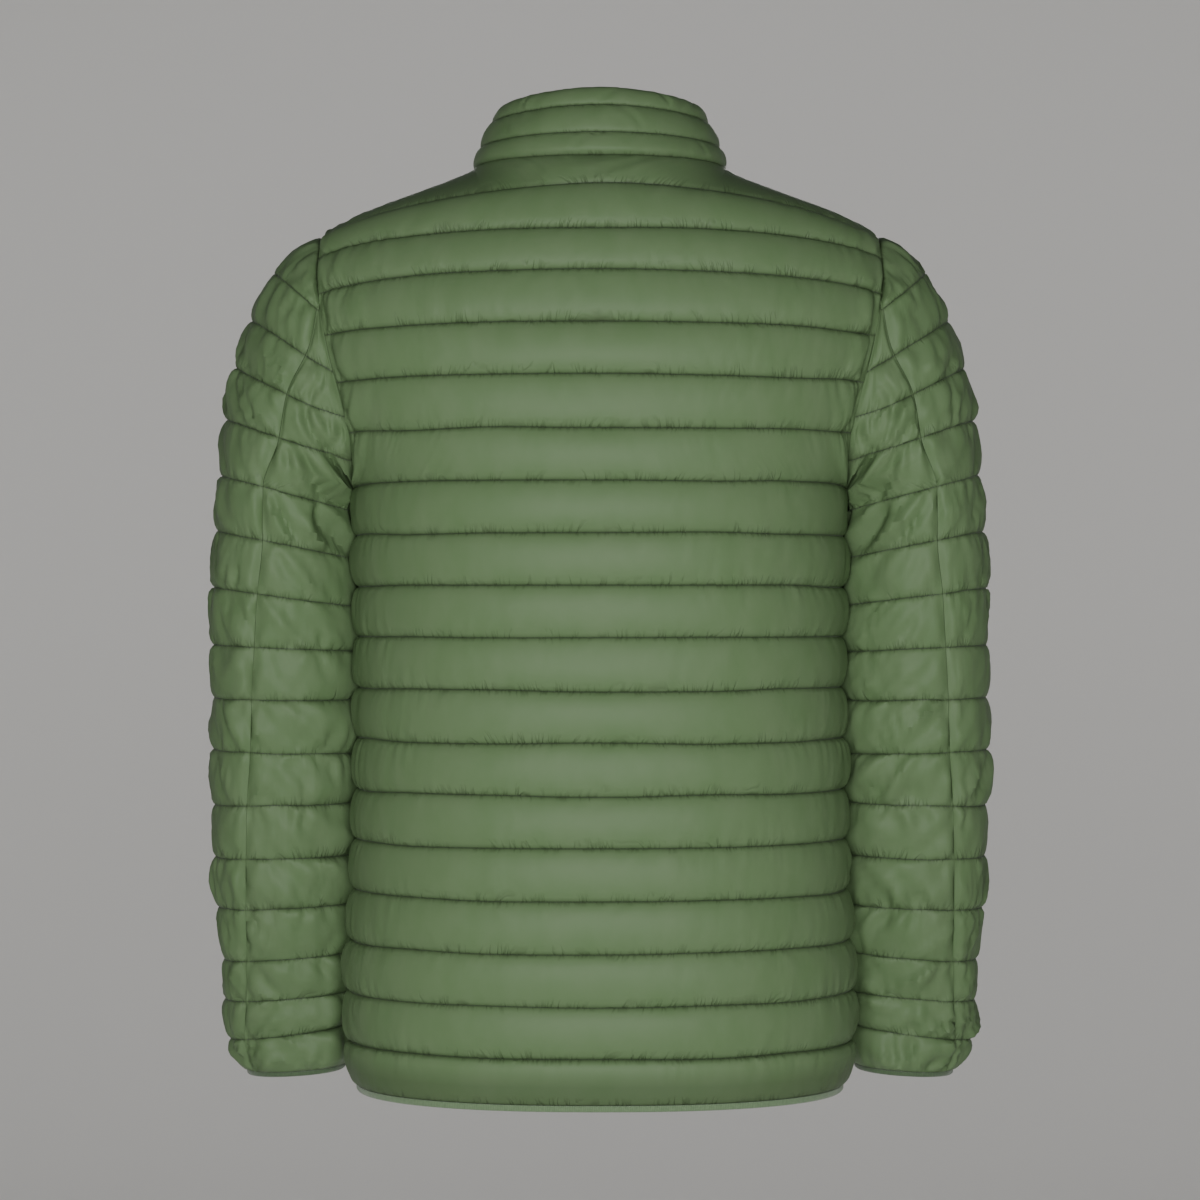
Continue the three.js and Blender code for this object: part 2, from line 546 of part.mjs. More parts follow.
// The inside's lines: every step down to one line, then every second quilting line
function insideLines(steps, fineUntil, to) {
  const plain = [];
  for (let line = fineUntil + 2; line < to; line += 2) plain.push(line);
  return [...steps.filter((line) => line <= fineUntil), ...plain, to];
}

const BODY_STEPS = stepsBetween(0, HEM_LINE, BODY_UNDERARM_LINE - 1, UNDERARM_CHANNEL_STEPS);
const BODY_INSIDE = insideLines(BODY_STEPS, BODY_UNDERARM_LINE, HEM_LINE);
const mirroredShares = (shares) => [...shares.map((share) => -share).reverse().slice(0, -1), ...shares];
const mirrorX = (place) => point(-place.x, place.y, place.z);

// Makes a place function that runs over both halves of a symmetrical piece, with negative shares on the right
function bothHalves(place) {
  return (line, share) => {
    const made = place(line, Math.abs(share));
    return share < 0 ? { inner: mirrorX(made.inner), outer: mirrorX(made.outer) } : made;
  };
}

function makeBack() {
  const wall = new Wall();
  addPatch(wall, {
    lines: BODY_INSIDE,
    steps: BODY_STEPS,
    shares: mirroredShares(BACK_HALF_SHARES),
    place: bothHalves((line, share) => bodyPlace(line, share, 1)),
    rims: { top: true, bottom: true, start: [0, HEM_LINE], end: [0, HEM_LINE] },
  });
  return wall;
}

function makeFront() {
  const wall = new Wall();
  addPatch(wall, {
    lines: BODY_INSIDE,
    steps: BODY_STEPS,
    shares: FRONT_SHARES,
    place: (line, share) => bodyPlace(line, share, -1),
    rims: { top: true, bottom: true, start: [0, HEM_LINE], end: [0, HEM_LINE] },
  });
  return wall;
}

function makeSleeveTop() {
  const wall = new Wall();
  const steps = stepsBetween(0, SLEEVE_END, FREE_RING - 1, LOBE_CHANNEL_STEPS);
  addPatch(wall, {
    lines: insideLines(steps, FREE_RING, SLEEVE_END),
    steps,
    shares: SLEEVE_TOP_SHARES,
    place: sleeveTopPlace,
    rims: { top: true, bottom: true, start: [0, SLEEVE_END], end: [0, SLEEVE_END] },
  });
  return wall;
}

function makeSleeveUnder() {
  const wall = new Wall();
  const steps = stepsBetween(LOBE_TOP, SLEEVE_END, FREE_RING - 1, LOBE_CHANNEL_STEPS);
  const patch = {
    lines: insideLines(steps, FREE_RING, SLEEVE_END),
    steps,
    shares: SLEEVE_UNDER_SHARES,
  };
  addPatch(wall, {
    ...patch,
    place: (line, share) => sleeveUnderPlace(line, share, 1),
    rims: { top: true, bottom: true, start: [LOBE_TOP, SLEEVE_END], end: [LOBE_TOP, UNDERARM_LINE] },
  });
  addPatch(wall, {
    ...patch,
    shares: [...SLEEVE_UNDER_SHARES].reverse(),
    place: (line, share) => sleeveUnderPlace(line, share, -1),
    rims: { top: true, bottom: true, start: [LOBE_TOP, UNDERARM_LINE], end: [LOBE_TOP, SLEEVE_END] },
  });
  return wall;
}

// The neck seam's steps are the back's and the fronts', so that the collar's edge follows theirs
function collarShares() {
  const back = BACK_HALF_SHARES.filter((share) => share <= NECK_SHARE).map((share) => share / NECK_SHARE / 2);
  const front = BODY_STEPS.filter((line) => line > 0 && line <= NECK_LINES);
  return [...back, ...front.map((line) => (1 + line / NECK_LINES) / 2)];
}

function makeCollar() {
  const wall = new Wall();
  addPatch(wall, {
    lines: [0, 1, 2, COLLAR_LINES],
    steps: stepsBetween(0, COLLAR_LINES),
    shares: mirroredShares(collarShares()),
    place: bothHalves(collarPlace),
    rims: { top: true, bottom: true, start: [0, COLLAR_LINES], end: [0, COLLAR_LINES] },
  });
  return wall;
}

// A narrow band below an edge: its places are the edge's, lowered by the seam gap and gathered in lower down
function bandPlace(edge, band, line) {
  const outward = edge.outer.clone().sub(edge.inner).setZ(0).normalize();
  const inner = edge.inner.clone().addScaledVector(outward, -band.gather * line);
  inner.z -= mix(SEAM_GAP, band.height, line);
  const bulge = BAND_BULGE * Math.sin(Math.PI * line);
  return { inner, outer: inner.clone().addScaledVector(outward, band.wall + bulge) };
}

function makeHemBinding() {
  const wall = new Wall();
  const half = [
    ...BACK_HALF_SHARES.map((share) => bodyPlace(HEM_LINE, share, 1)),
    ...[...FRONT_SHARES].reverse().slice(1).map((share) => bodyPlace(HEM_LINE, share, -1)),
  ];
  const shares = mirroredShares(half.map((_, i) => i));
  addPatch(wall, {
    lines: [0, 1],
    steps: [0, 0.5, 1],
    shares,
    place: bothHalves((line, share) => bandPlace(half[share], HEM_BAND, line)),
    rims: { top: true, bottom: true, start: [0, 1], end: [0, 1] },
  });
  return wall;
}

function makeCuffBinding() {
  const wall = new Wall();
  const around = [
    ...SLEEVE_TOP_SHARES.map((share) => sleeveTopPlace(SLEEVE_END, share)),
    ...SLEEVE_UNDER_SHARES.slice(1).map((share) => sleeveUnderPlace(SLEEVE_END, share, 1)),
    ...[...SLEEVE_UNDER_SHARES].reverse().slice(1).map((share) => sleeveUnderPlace(SLEEVE_END, share, -1)),
  ];
  addPatch(wall, {
    lines: [0, 1],
    steps: [0, 0.5, 1],
    shares: [...around.keys()],
    place: (line, share) => bandPlace(around[share % (around.length - 1)], CUFF_BAND, line),
    rims: { top: true, bottom: true },
  });
  return wall;
}

// The middle of the front from the hem binding up to the collar's top, as places with their outward way
function zipStations() {
  const up = [];
  const lowest = bandPlace(bodyPlace(HEM_LINE, 0, -1), HEM_BAND, 1).inner;
  up.push(point(0, lowest.y, lowest.z + ZIP_FOOT));
  const lines = BODY_INSIDE.filter((line) => line >= NECK_LINES && Number.isInteger(line));
  lines.reverse().forEach((line) => up.push(bodyPoint(line, 0, -1)));
  for (let line = 1; line <= COLLAR_LINES; line += 1) up.push(collarPoint(line, 1));
  return up.map((place, i) => {
    const [below, above] = [up[Math.max(0, i - 1)], up[Math.min(up.length - 1, i + 1)]];
    const along = above.clone().sub(below).setX(0).normalize();
    return { place: place.clone().setX(0), outward: point(0, -along.z, along.y) };
  });
}

// One side of the zip: its tape inside the front's edge, and its row of teeth as a bead between the fronts
function makeZipSide() {
  const wall = new Wall();
  const inside = -TAPE.inside;
  const section = [
    [ZIP_HALF_SLIT, inside - TAPE.wall],
    [TAPE.width, inside - TAPE.wall],
    [TAPE.width, inside],
    [TEETH.width, inside],
    [TEETH.width, TEETH.height],
    [ZIP_HALF_SLIT, TEETH.height],
  ];
  const rings = zipStations().map(({ place, outward }) => {
    return section.map(([x, out]) => {
      return wall.vertex(place.clone().addScaledVector(outward, out).setX(x));
    });
  });
  rings.slice(1).forEach((ring, i) => {
    ring.forEach((vertex, j) => {
      const next = (j + 1) % ring.length;
      wall.quad(rings[i][j], rings[i][next], ring[next], vertex);
    });
  });
  const caps = THREE.ShapeUtils.triangulateShape(section.map(([x, y]) => new THREE.Vector2(x, y)), []);
  caps.forEach(([a, b, c]) => {
    wall.triangle(rings[0][c], rings[0][b], rings[0][a]);
    wall.triangle(rings.at(-1)[a], rings.at(-1)[b], rings.at(-1)[c]);
  });
  return wall;
}

// Slider and pull tab, in a frame whose origin is on the teeth below the slider's middle and +Z is outward
const SLIDER = { line: 2.35, width: 8.2, foot: 6, height: 11, wall: 3.2 };
const ARCH = { width: 3, inside: 1.5, wall: 1.1, up: 1.5, foot: -1, segments: 10 };
const PULL = { width: 7, narrow: 0.8, wall: 1.6, window: 4.2, windowHalf: 2.1, length: 30, above: 0.8 };
const ARCH_AXIS = SLIDER.wall + ARCH.inside;

function plateOutline(halfTop, halfFoot, top, foot) {
  const outline = new THREE.Shape();
  outline.moveTo(-halfFoot, foot);
  outline.lineTo(halfFoot, foot);
  outline.lineTo(halfTop, top);
  outline.lineTo(-halfTop, top);
  outline.closePath();
  return outline;
}

async function makeSlider() {
  const wasm = await Module();
  wasm.setup();
  const solid = (geometry) => {
    const plain = geometry.clone();
    plain.deleteAttribute("normal");
    plain.deleteAttribute("uv");
    const merged = mergeVertices(plain, 1e-4);
    const vertProperties = new Float32Array(merged.attributes.position.array);
    return new wasm.Manifold(new wasm.Mesh({ numProp: 3, vertProperties, triVerts: merged.index.array }));
  };
  const half = SLIDER.height / 2;
  const plate = new THREE.ExtrudeGeometry(plateOutline(SLIDER.width / 2, SLIDER.foot / 2, half, -half), {
    depth: SLIDER.wall,
    bevelEnabled: false,
  });
  const round = ARCH.inside + ARCH.wall;
  const arch = new THREE.Shape();
  arch.moveTo(-round, ARCH.foot);
  arch.lineTo(-round, ARCH.inside);
  arch.absarc(0, ARCH.inside, round, Math.PI, 0, true);
  arch.lineTo(round, ARCH.foot);
  const hole = new THREE.Path();
  hole.absarc(0, ARCH.inside, ARCH.inside, 0, Math.PI * 2);
  arch.holes.push(hole);
  const loop = new THREE.ExtrudeGeometry(arch, {
    depth: ARCH.width,
    bevelEnabled: false,
    curveSegments: ARCH.segments,
  });
  loop.translate(0, 0, -ARCH.width / 2);
  loop.rotateY(Math.PI / 2);
  loop.rotateX(Math.PI / 2);
  loop.translate(0, ARCH.up, SLIDER.wall);
  const joined = solid(plate).add(solid(loop)).getMesh();
  const geometry = new THREE.BufferGeometry();
  geometry.setAttribute("position", new THREE.BufferAttribute(joined.vertProperties.slice(), 3));
  geometry.setIndex(new THREE.BufferAttribute(joined.triVerts.slice(), 1));
  return geometry;
}

function makePull() {
  const half = PULL.width / 2;
  const outline = plateOutline(half, half * PULL.narrow, PULL.above, PULL.above - PULL.length);
  const window = new THREE.Path();
  window.moveTo(-PULL.windowHalf, -PULL.above);
  window.lineTo(-PULL.windowHalf, -PULL.above - PULL.window);
  window.lineTo(PULL.windowHalf, -PULL.above - PULL.window);
  window.lineTo(PULL.windowHalf, -PULL.above);
  window.closePath();
  outline.holes.push(window);
  const geometry = new THREE.ExtrudeGeometry(outline, { depth: PULL.wall, bevelEnabled: false });
  geometry.translate(0, 0, -PULL.wall / 2);
  return geometry;
}

// Materials
const nylon = new THREE.MeshStandardMaterial({ color: 0x5f7f55, roughness: 0.45, metalness: 0 });
const elastic = new THREE.MeshStandardMaterial({ color: 0x6c8460, roughness: 0.8, metalness: 0 });
const zipCloth = new THREE.MeshStandardMaterial({ color: 0x3d5238, roughness: 0.8, metalness: 0 });
const zipMetal = new THREE.MeshStandardMaterial({ color: 0x55594f, roughness: 0.35, metalness: 1 });

const jacket = new THREE.Group();

function addNode(name, geometry, material) {
  const mesh = new THREE.Mesh(geometry, material.clone());
  mesh.name = name;
  jacket.add(mesh);
  return mesh;
}

function addPair(name, wall, material) {
  addNode(`${name}_left`, wall.geometry(), material);
  addNode(`${name}_right`, wall.geometry(true), material);
}

addNode("back", makeBack().geometry(), nylon);
addPair("front", makeFront(), nylon);
addPair("sleeve_top", makeSleeveTop(), nylon);
addPair("sleeve_under", makeSleeveUnder(), nylon);
addNode("collar", makeCollar().geometry(), nylon);
addNode("hem_binding", makeHemBinding().geometry(), elastic);
addPair("cuff_binding", makeCuffBinding(), elastic);
addPair("zip_tape", makeZipSide(), zipCloth);

// The slider stands on the teeth near the top of the collar, and the pull tab hangs from its arch
const seat = collarPoint(SLIDER.line, 1).setX(0);
const lean = Math.atan2(COLLAR_TOP.front - NECK_FRONT, COLLAR_TOP.frontHeight + NECK_FRONT_DROP);
const slider = addNode("zip_slider", await makeSlider(), zipMetal);
slider.rotation.x = Math.PI / 2 + lean;
const away = point(0, -Math.cos(lean), -Math.sin(lean));
slider.position.copy(seat).addScaledVector(away, TEETH.height + 2 * SEAM_GAP);
const pull = addNode("zip_pull", makePull(), zipMetal);
const along = point(0, -Math.sin(lean), Math.cos(lean));
pull.position.copy(slider.position).addScaledVector(away, ARCH_AXIS).addScaledVector(along, ARCH.up);
pull.rotation.x = Math.PI / 2;

export default jacket;
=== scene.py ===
# %% [markdown]
# # A light quilted jacket, filled out as if someone wore it
# The part's plain solids are loaded first, as a fixed frame. Each soft solid is then replaced by a finer
# piece of the same form, with its gathers, creases, sewing and nylon. Places are in metres, with +Z up, the
# front facing -Y and the wearer's left at +X. The tables keep millimetres, as a maker would, and one number
# turns them into metres where a mesh is made.

# %% Load the frame
import math

import bmesh
import bpy
import numpy as np
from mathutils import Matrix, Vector


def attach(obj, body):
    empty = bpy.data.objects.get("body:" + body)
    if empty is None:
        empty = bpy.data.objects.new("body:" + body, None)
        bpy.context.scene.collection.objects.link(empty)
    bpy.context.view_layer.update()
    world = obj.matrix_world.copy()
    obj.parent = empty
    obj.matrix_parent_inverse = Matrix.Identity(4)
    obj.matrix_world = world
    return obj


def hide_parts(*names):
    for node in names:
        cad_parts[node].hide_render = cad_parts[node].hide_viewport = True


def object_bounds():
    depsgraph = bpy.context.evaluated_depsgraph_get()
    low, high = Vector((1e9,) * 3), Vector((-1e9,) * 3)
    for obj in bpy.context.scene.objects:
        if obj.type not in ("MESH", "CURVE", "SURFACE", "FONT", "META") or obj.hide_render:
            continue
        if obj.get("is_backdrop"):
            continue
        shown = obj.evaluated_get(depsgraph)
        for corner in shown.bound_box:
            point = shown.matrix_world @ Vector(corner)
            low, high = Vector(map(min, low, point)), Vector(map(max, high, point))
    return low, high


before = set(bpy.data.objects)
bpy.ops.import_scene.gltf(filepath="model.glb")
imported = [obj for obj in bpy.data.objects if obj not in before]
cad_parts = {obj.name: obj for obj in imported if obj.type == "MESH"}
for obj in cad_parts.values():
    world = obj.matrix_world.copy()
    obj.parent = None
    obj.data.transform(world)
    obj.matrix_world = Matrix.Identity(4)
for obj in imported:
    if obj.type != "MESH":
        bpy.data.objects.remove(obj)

MM = 0.001
cad_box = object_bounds()


def add_object(name, data):
    made = bpy.data.objects.new(name, data)
    bpy.context.scene.collection.objects.link(made)
    return made


print("nodes in the frame:", ", ".join(sorted(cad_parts)))

# %% [markdown]
# ## Camera
# The photo looks straight at the middle of the back from about 2.3 m, level, so the camera stands on the +Y
# side and turns round to face -Y. A long lens keeps the jacket's sides nearly parallel, as in the photo.

# %% Camera
PHOTO_PIXELS, FOCAL_PIXELS, SENSOR = 1200, 3006.5, 36
CAMERA_PLACE = (0, 2.3, -0.327)

camera_data = bpy.data.cameras.new("photo_camera")
camera_data.sensor_width = SENSOR
camera_data.lens = SENSOR * FOCAL_PIXELS / PHOTO_PIXELS
camera = add_object("photo_camera", camera_data)
camera.location = CAMERA_PLACE
camera.rotation_euler = (math.radians(90), 0, math.radians(180))
bpy.context.scene.camera = camera
print("lens:", round(camera_data.lens, 1), "mm")

# %% [markdown]
# ## Sizes of the pattern
# A quilted garment is ruled by its stitching lines, so every table has a row for a line. Line 1 is the
# first below the collar, line 7 reaches the underarm and line 19 is the hem. Between two rows a smooth
# curve that never swings past their values gives the size, so a few rows are enough.

# %% Tables with named columns
def rows(names, *values):
    return [{n: v for n, v in zip(names.split(), row) if v is not None} for row in values]


def column(table, name, key="line"):
    kept = [row for row in table if name in row]
    keys = np.array([row[key] for row in kept], float)
    values = np.array([row[name] for row in kept], float)
    slopes = np.diff(values) / np.diff(keys)
    tangents = np.concatenate([slopes[:1], np.zeros(len(keys) - 2), slopes[-1:]])
    for i in range(1, len(keys) - 1):
        before, after = slopes[i - 1], slopes[i]
        if before * after > 0:
            tangents[i] = 2 * before * after / (before + after)

    def read(place):
        place = np.clip(place, keys[0], keys[-1])
        i = np.clip(np.searchsorted(keys, place, side="right") - 1, 0, len(keys) - 2)
        span = keys[i + 1] - keys[i]
        s = (place - keys[i]) / span
        start = values[i] * (1 + 2 * s) * (1 - s) ** 2 + tangents[i] * span * s * (1 - s) ** 2
        return start + values[i + 1] * s * s * (3 - 2 * s) - tangents[i + 1] * span * s * s * (1 - s)

    return read


QUILT_PITCH = 38.2
LINE_HEIGHTS = rows("line height", (1, -22), (2, -56), (3, -87.4), (18, -660.4), (19, -694))
BODY = rows(
    "line turn back_depth back_curve front_depth front_curve drop_power",
    (0, 0, None, None, None, None, None),
    (1, 21, 98, 1.6, 71, 1.7, 1.8),
    (2, 40, 110, 1.9, 90, 1.9, 2.5),
    (3, 63, 118, 2.1, 106, 2.1, 2.3),
    (4, 82, 123, 2.3, 119, 2.25, 2.5),
    (5, 98, 125.5, 2.3, 128, 2.25, 3),
    (6, 121, 125.5, 2.3, 133, 2.25, 4),
    (7, 180, 125, 2.3, 136, 2.25, 6),
    (9, None, 122, None, 138, None, None),
    (12, None, 119, None, 137, None, None),
    (16, None, 121, None, 134, None, None),
    (19, None, 117, 2.3, 128, 2.25, 6),
)
SIDE_SEAM = rows(
    "line half_width",
    (7, 184), (8, 183), (9, 181.5), (11, 180.5), (13, 182), (15, 184), (17, 189), (18, 188), (19, 183),
)
ARMHOLE_WIDTH = rows(
    "drop half_width",
    (0, 210), (27, 210), (57, 207), (96, 199), (134, 189), (157, 185), (190, 184),
)
print("the jacket is", QUILT_PITCH, "mm from line to line")

# %% [markdown]
# ## Small helpers for whole grids of points
# A panel has tens of thousands of points, so each formula works on whole arrays at once. A point is the
# last axis of an array, and these few helpers make, turn and mix such points. A direction times LEVEL loses
# its rise, and one times UPRIGHT loses its run to the side.

# %% Helpers on arrays
LEVEL, UPRIGHT, FLIP = np.array([1, 1, 0]), np.array([0, 1, 1]), np.array([-1, 1, 1])


def vec(x, y, z):
    return np.stack(np.broadcast_arrays(x, y, z), axis=-1).astype(float)


def unit(v):
    return v / np.maximum(np.linalg.norm(v, axis=-1, keepdims=True), 1e-9)


def mix(a, b, share):
    share = np.asarray(share, float)
    if np.ndim(a) > np.ndim(share) or np.ndim(b) > np.ndim(share):
        share = share[..., None]
    return a + (b - a) * share


def dot(a, b):
    return np.sum(a * b, axis=-1, keepdims=True)


def clamp01(value):
    return np.clip(value, 0, 1)


def signed_power(value, power):
    return np.sign(value) * np.abs(value) ** power


def smooth(value):
    value = clamp01(value)
    return value * value * (3 - 2 * value)


# %% [markdown]
# ## Body
# The body is cut as a back and two fronts. Its neck, shoulder and armhole seams are curves in space, and
# each quilting line runs between them as part of a rounded oblong. A lathe can't make this, and a box with
# subdivision would lose the seams, so the surface is worked out from the seams themselves.

# %% Seams of the body
NECK_HALF_WIDTH, NECK_BACK, NECK_FRONT, NECK_FRONT_DROP = 93, 81, 90, 58
NECK_CURVE, NECK_DROP_POWER, NECK_LINES, NECK_SHARE = 2.2, 1.6, 2, 0.4
NECK_RISE, NECK_RISE_LOST = 62, 0.9
TIP_X, TIP_Z, SHOULDER_SLOPE_POWER = 210, -53, 0.9
SHOULDER_ROUND, SHOULDER_SAG = 105, 3
ARMHOLE_HALF_DEPTH, ARMHOLE_CURVE, ARMHOLE_LEAN = 68, 2.3, 0.55
FRONT_ARMHOLE_INSET, UNDERARM_DROP, UNDERARM_AT = 18, 3, 7
ZIP_HALF_GAP, HEM_LINE, SETTLED_LINE = 4, 19, 3

body = {name: column(BODY, name) for name in list(BODY[1])[1:]}
side_width = column(SIDE_SEAM, "half_width")
armhole_width = column(ARMHOLE_WIDTH, "half_width", "drop")


def line_height(line):
    table = [(row["line"], row["height"]) for row in LINE_HEIGHTS]
    return np.interp(line, *zip(*table))


UNDERARM_HEIGHT = line_height(UNDERARM_AT) - UNDERARM_DROP


def armhole_point(turn, side):
    turn = np.radians(turn)
    out = signed_power(np.sin(turn), 2 / ARMHOLE_CURVE)
    up = signed_power(np.cos(turn), 2 / ARMHOLE_CURVE)
    inset = FRONT_ARMHOLE_INSET * out**2 * (0.5 + 0.5 * up) * (np.asarray(side) < 0)
    drop = (TIP_Z - UNDERARM_HEIGHT) / 2 * (1 - up)
    return vec(armhole_width(drop) - inset, side * ARMHOLE_HALF_DEPTH * out, TIP_Z - drop)


def armhole_outward(turn, side):
    turn = np.radians(turn)
    return unit(vec(ARMHOLE_LEAN, side * np.sin(turn), np.cos(turn)))


def neck_round(share):
    angle = np.where(share < 0.5, share, share - 0.5) * np.pi
    return np.sin(angle) ** (2 / NECK_CURVE), np.maximum(0, np.cos(angle)) ** (2 / NECK_CURVE)


def neck_point(share):
    share = clamp01(np.asarray(share, float))
    sine, cosine = neck_round(share)
    behind = vec(NECK_HALF_WIDTH * sine, NECK_BACK * cosine, 0)
    x = ZIP_HALF_GAP + (NECK_HALF_WIDTH - ZIP_HALF_GAP) * cosine
    ahead = vec(x, -NECK_FRONT * sine, -NECK_FRONT_DROP * sine**NECK_DROP_POWER)
    return np.where((share < 0.5)[..., None], behind, ahead)


def neck_outward(share):
    seam = neck_point(share)
    rise = NECK_RISE * (1 - NECK_RISE_LOST * clamp01(share - 0.5))
    return unit(vec(seam[..., 0], seam[..., 1], rise))


def shoulder_point(share):
    share = clamp01(share)
    return vec(mix(NECK_HALF_WIDTH, TIP_X, share), 0, TIP_Z * share**SHOULDER_SLOPE_POWER)


print("underarm height:", round(float(UNDERARM_HEIGHT), 1), "mm")

# %% Quilting lines of the body
def line_start(line, side):
    if side > 0:
        return vec(0, 0, line_height(line))
    steep = mix(-NECK_FRONT_DROP, line_height(SETTLED_LINE), line - NECK_LINES)
    height = np.where(line >= SETTLED_LINE, line_height(line), steep)
    at_neck = neck_point((1 + line / NECK_LINES) / 2)
    return np.where((line < NECK_LINES)[..., None], at_neck, vec(ZIP_HALF_GAP, 0, height))


def line_end(line, side):
    drop = UNDERARM_DROP * np.maximum(0, UNDERARM_AT + 1 - line) ** 2
    low = vec(side_width(line), 0, line_height(line) - drop)
    return np.where((line < UNDERARM_AT)[..., None], armhole_point(body["turn"](line), side), low)


def line_point(line, share, side):
    start, end = line_start(line, side), line_end(line, side)
    name = "back" if side > 0 else "front"
    depth, curve = body[name + "_depth"](line), body[name + "_curve"](line)
    wide = end[..., 0] / (1 - (np.abs(end[..., 1]) / depth) ** curve) ** (1 / curve)

    def angle_at(x):
        return np.arcsin(np.clip((x / wide) ** (curve / 2), 0, 1))

    angle = mix(angle_at(start[..., 0]), angle_at(end[..., 0]), share)
    x = wide * np.sin(angle) ** (2 / curve)
    y = side * depth * np.maximum(0, np.cos(angle)) ** (2 / curve)
    return vec(x, y, mix(start[..., 2], end[..., 2], share ** body["drop_power"](line)))


def shoulder_channel(line, share, side):
    neck = neck_point(share / NECK_SHARE / 2)
    beyond = shoulder_point((share - NECK_SHARE) / (1 - NECK_SHARE))
    over = np.where((share < NECK_SHARE)[..., None], neck, beyond)
    top = over if side > 0 else shoulder_point(share)
    across = line_point(np.ones_like(share), share, side) - top
    along = unit(across)
    swell = unit(vec(0, 0, 1) - along * along[..., 2:])
    sag = np.minimum(SHOULDER_SAG, dot(across, across) / 8 / SHOULDER_ROUND)
    return top + across * line[..., None] + swell * sag * (4 * line * (1 - line))[..., None]


def body_point(line, share, side):
    line, share = np.broadcast_arrays(np.minimum(line, HEM_LINE), clamp01(share))

    def raw(at):
        high = shoulder_channel(np.minimum(line, 1), at, side)
        low = line_point(np.maximum(line, 1), at, side)
        return np.where((line < 1)[..., None], high, low)

    place = raw(share)
    armhole = armhole_point(body["turn"](line), side) - raw(np.ones_like(share))
    place = place + np.where(line < 1, share**4, 0)[..., None] * armhole
    if side < 0:
        neck = line_start(line, side) - raw(np.zeros_like(share))
        place = place + np.where(line < NECK_LINES, (1 - share) ** 3, 0)[..., None] * neck
    return place


middle = body_point(np.array([1.0, 7.0, 19.0]), np.zeros(3), 1)
print("middle of the back at lines 1, 7 and 19:", middle.round().tolist())

# %% [markdown]
# ## Which way a wall stands out
# Cloth and filling stand on the surface along its own outward direction. Two slopes measured a small step
# apart give it. At a seam both neighbours must share one direction, or they would cut into each other, so
# near an edge the direction turns towards the one that the seam has.

# %% Outward directions
SLOPE_STEP = 0.004


def outward_of(surface, line, share, hint):
    down = surface(line + SLOPE_STEP, share) - surface(np.maximum(0, line - SLOPE_STEP), share)
    across = surface(line, share + SLOPE_STEP) - surface(line, share - SLOPE_STEP)
    out = unit(np.cross(down, across))
    return np.where(dot(out, hint) < 0, -out, out)


def along_rows(points):
    steps = np.linalg.norm(np.diff(points, axis=1), axis=-1)
    return np.concatenate([np.zeros((len(points), 1)), np.cumsum(steps, axis=1)], axis=1)


def turned_to(outward, edge, distance, reach=11):
    return unit(mix(outward, np.broadcast_to(edge, outward.shape), smooth(1 - distance / reach)))


def rows_between(first, last, steps):
    found = [first, last]
    for line in range(int(first), math.ceil(last)):
        found += [line + (1 - math.cos(math.pi * k / steps)) / 2 for k in range(steps)]
    found = sorted(line for line in found if first <= line <= last)
    return np.array([b for a, b in zip([-1] + found, found) if b - a > 1e-6])


print("rows of three channels:", rows_between(0, 3, 4).round(2).tolist())

# %% [markdown]
# ## Sleeves
# Each sleeve has a wide outer panel and a narrow under panel, joined by a seam that shows from behind. A
# ring of the sleeve is a rounded oblong that tilts and drifts forward towards the cuff. Above the underarm
# a ring stops where it meets the armhole.

# %% Sleeve sizes
SLEEVE_CURVE, FORK_TURN, UNDERARM_LINE, FREE_RING, SLEEVE_END = 2.15, 66, 4.5, 5, 17
SEAM_ANGLE, ARMHOLE_GAP, UNDERARM_GAP, ARMHOLE_BLEND, LOBE_TOP = 0.18, 0.5, 1.8, 0.6, 0.1
SLEEVE = rows(
    "line out_x out_z in_x in_z back_y depth back_seam front_seam",
    (1, 246, -80, 168, -148, 0, 66, 86, 86),
    (2, 263, -116, 147, -193, 0, 67, 78, 80),
    (3, 275, -152, 153, -216, 0, 66, 74, 80),
    (4, 282, -191, 166, -232, -1, 63, 77, 84),
    (5, 286, -233, 201, -256, -3, 58, 81, 88),
    (6, 290, -275, 198, -293, -6, 55, 81, 92),
    (7, 293, -318, 196, -330, -9, 53, 77, 95),
    (8, 294, -361, 195, -366, -13, 52, 74, 95),
    (9, 294, -402, 195, -403, -17, 51, 71, 95),
    (10, 295, -441, 196, -445, -22, 50, 70, 95),
    (11, 295, -484, 196.5, -482, -28, 49, 66, 95),
    (12, 295, -525, 197, -523, -34, 47, 64, 95),
    (13, 293.5, -565, 197, -562, -41, 45, 61, 95),
    (14, 290, -606, 198, -600, -48, 43, 57, 95),
    (15, 290, -638, 199, -631, -54, 41, 55, 95),
    (16, 286.5, -669, 199, -658, -59, 38, 46, 95),
    (17, 275, -694, 202, -690, -62, 34, 38, 95),
)
SLEEVE_MEETS = rows(
    "line meet turn",
    (1, 90, 70), (2, 100, 94), (3, 107, 113), (4, 120, 138), (4.5, 180, 180),
)
sleeve = {name: column(SLEEVE, name) for name in list(SLEEVE[0])[1:]}
meets = {name: column(SLEEVE_MEETS, name) for name in ("meet", "turn")}


def ring_point(line, angle):
    angle = np.radians(angle)
    ends = [vec(sleeve[e + "_x"](line), 0, sleeve[e + "_z"](line)) for e in ("out", "in")]
    centre = (ends[0] + ends[1]) / 2
    side = signed_power(np.sin(angle), 2 / SLEEVE_CURVE) * sleeve["depth"](line)
    out = signed_power(np.cos(angle), 2 / SLEEVE_CURVE)
    return centre + vec(0, sleeve["back_y"](line) + side, 0) + (ends[0] - ends[1]) / 2 * out[..., None]


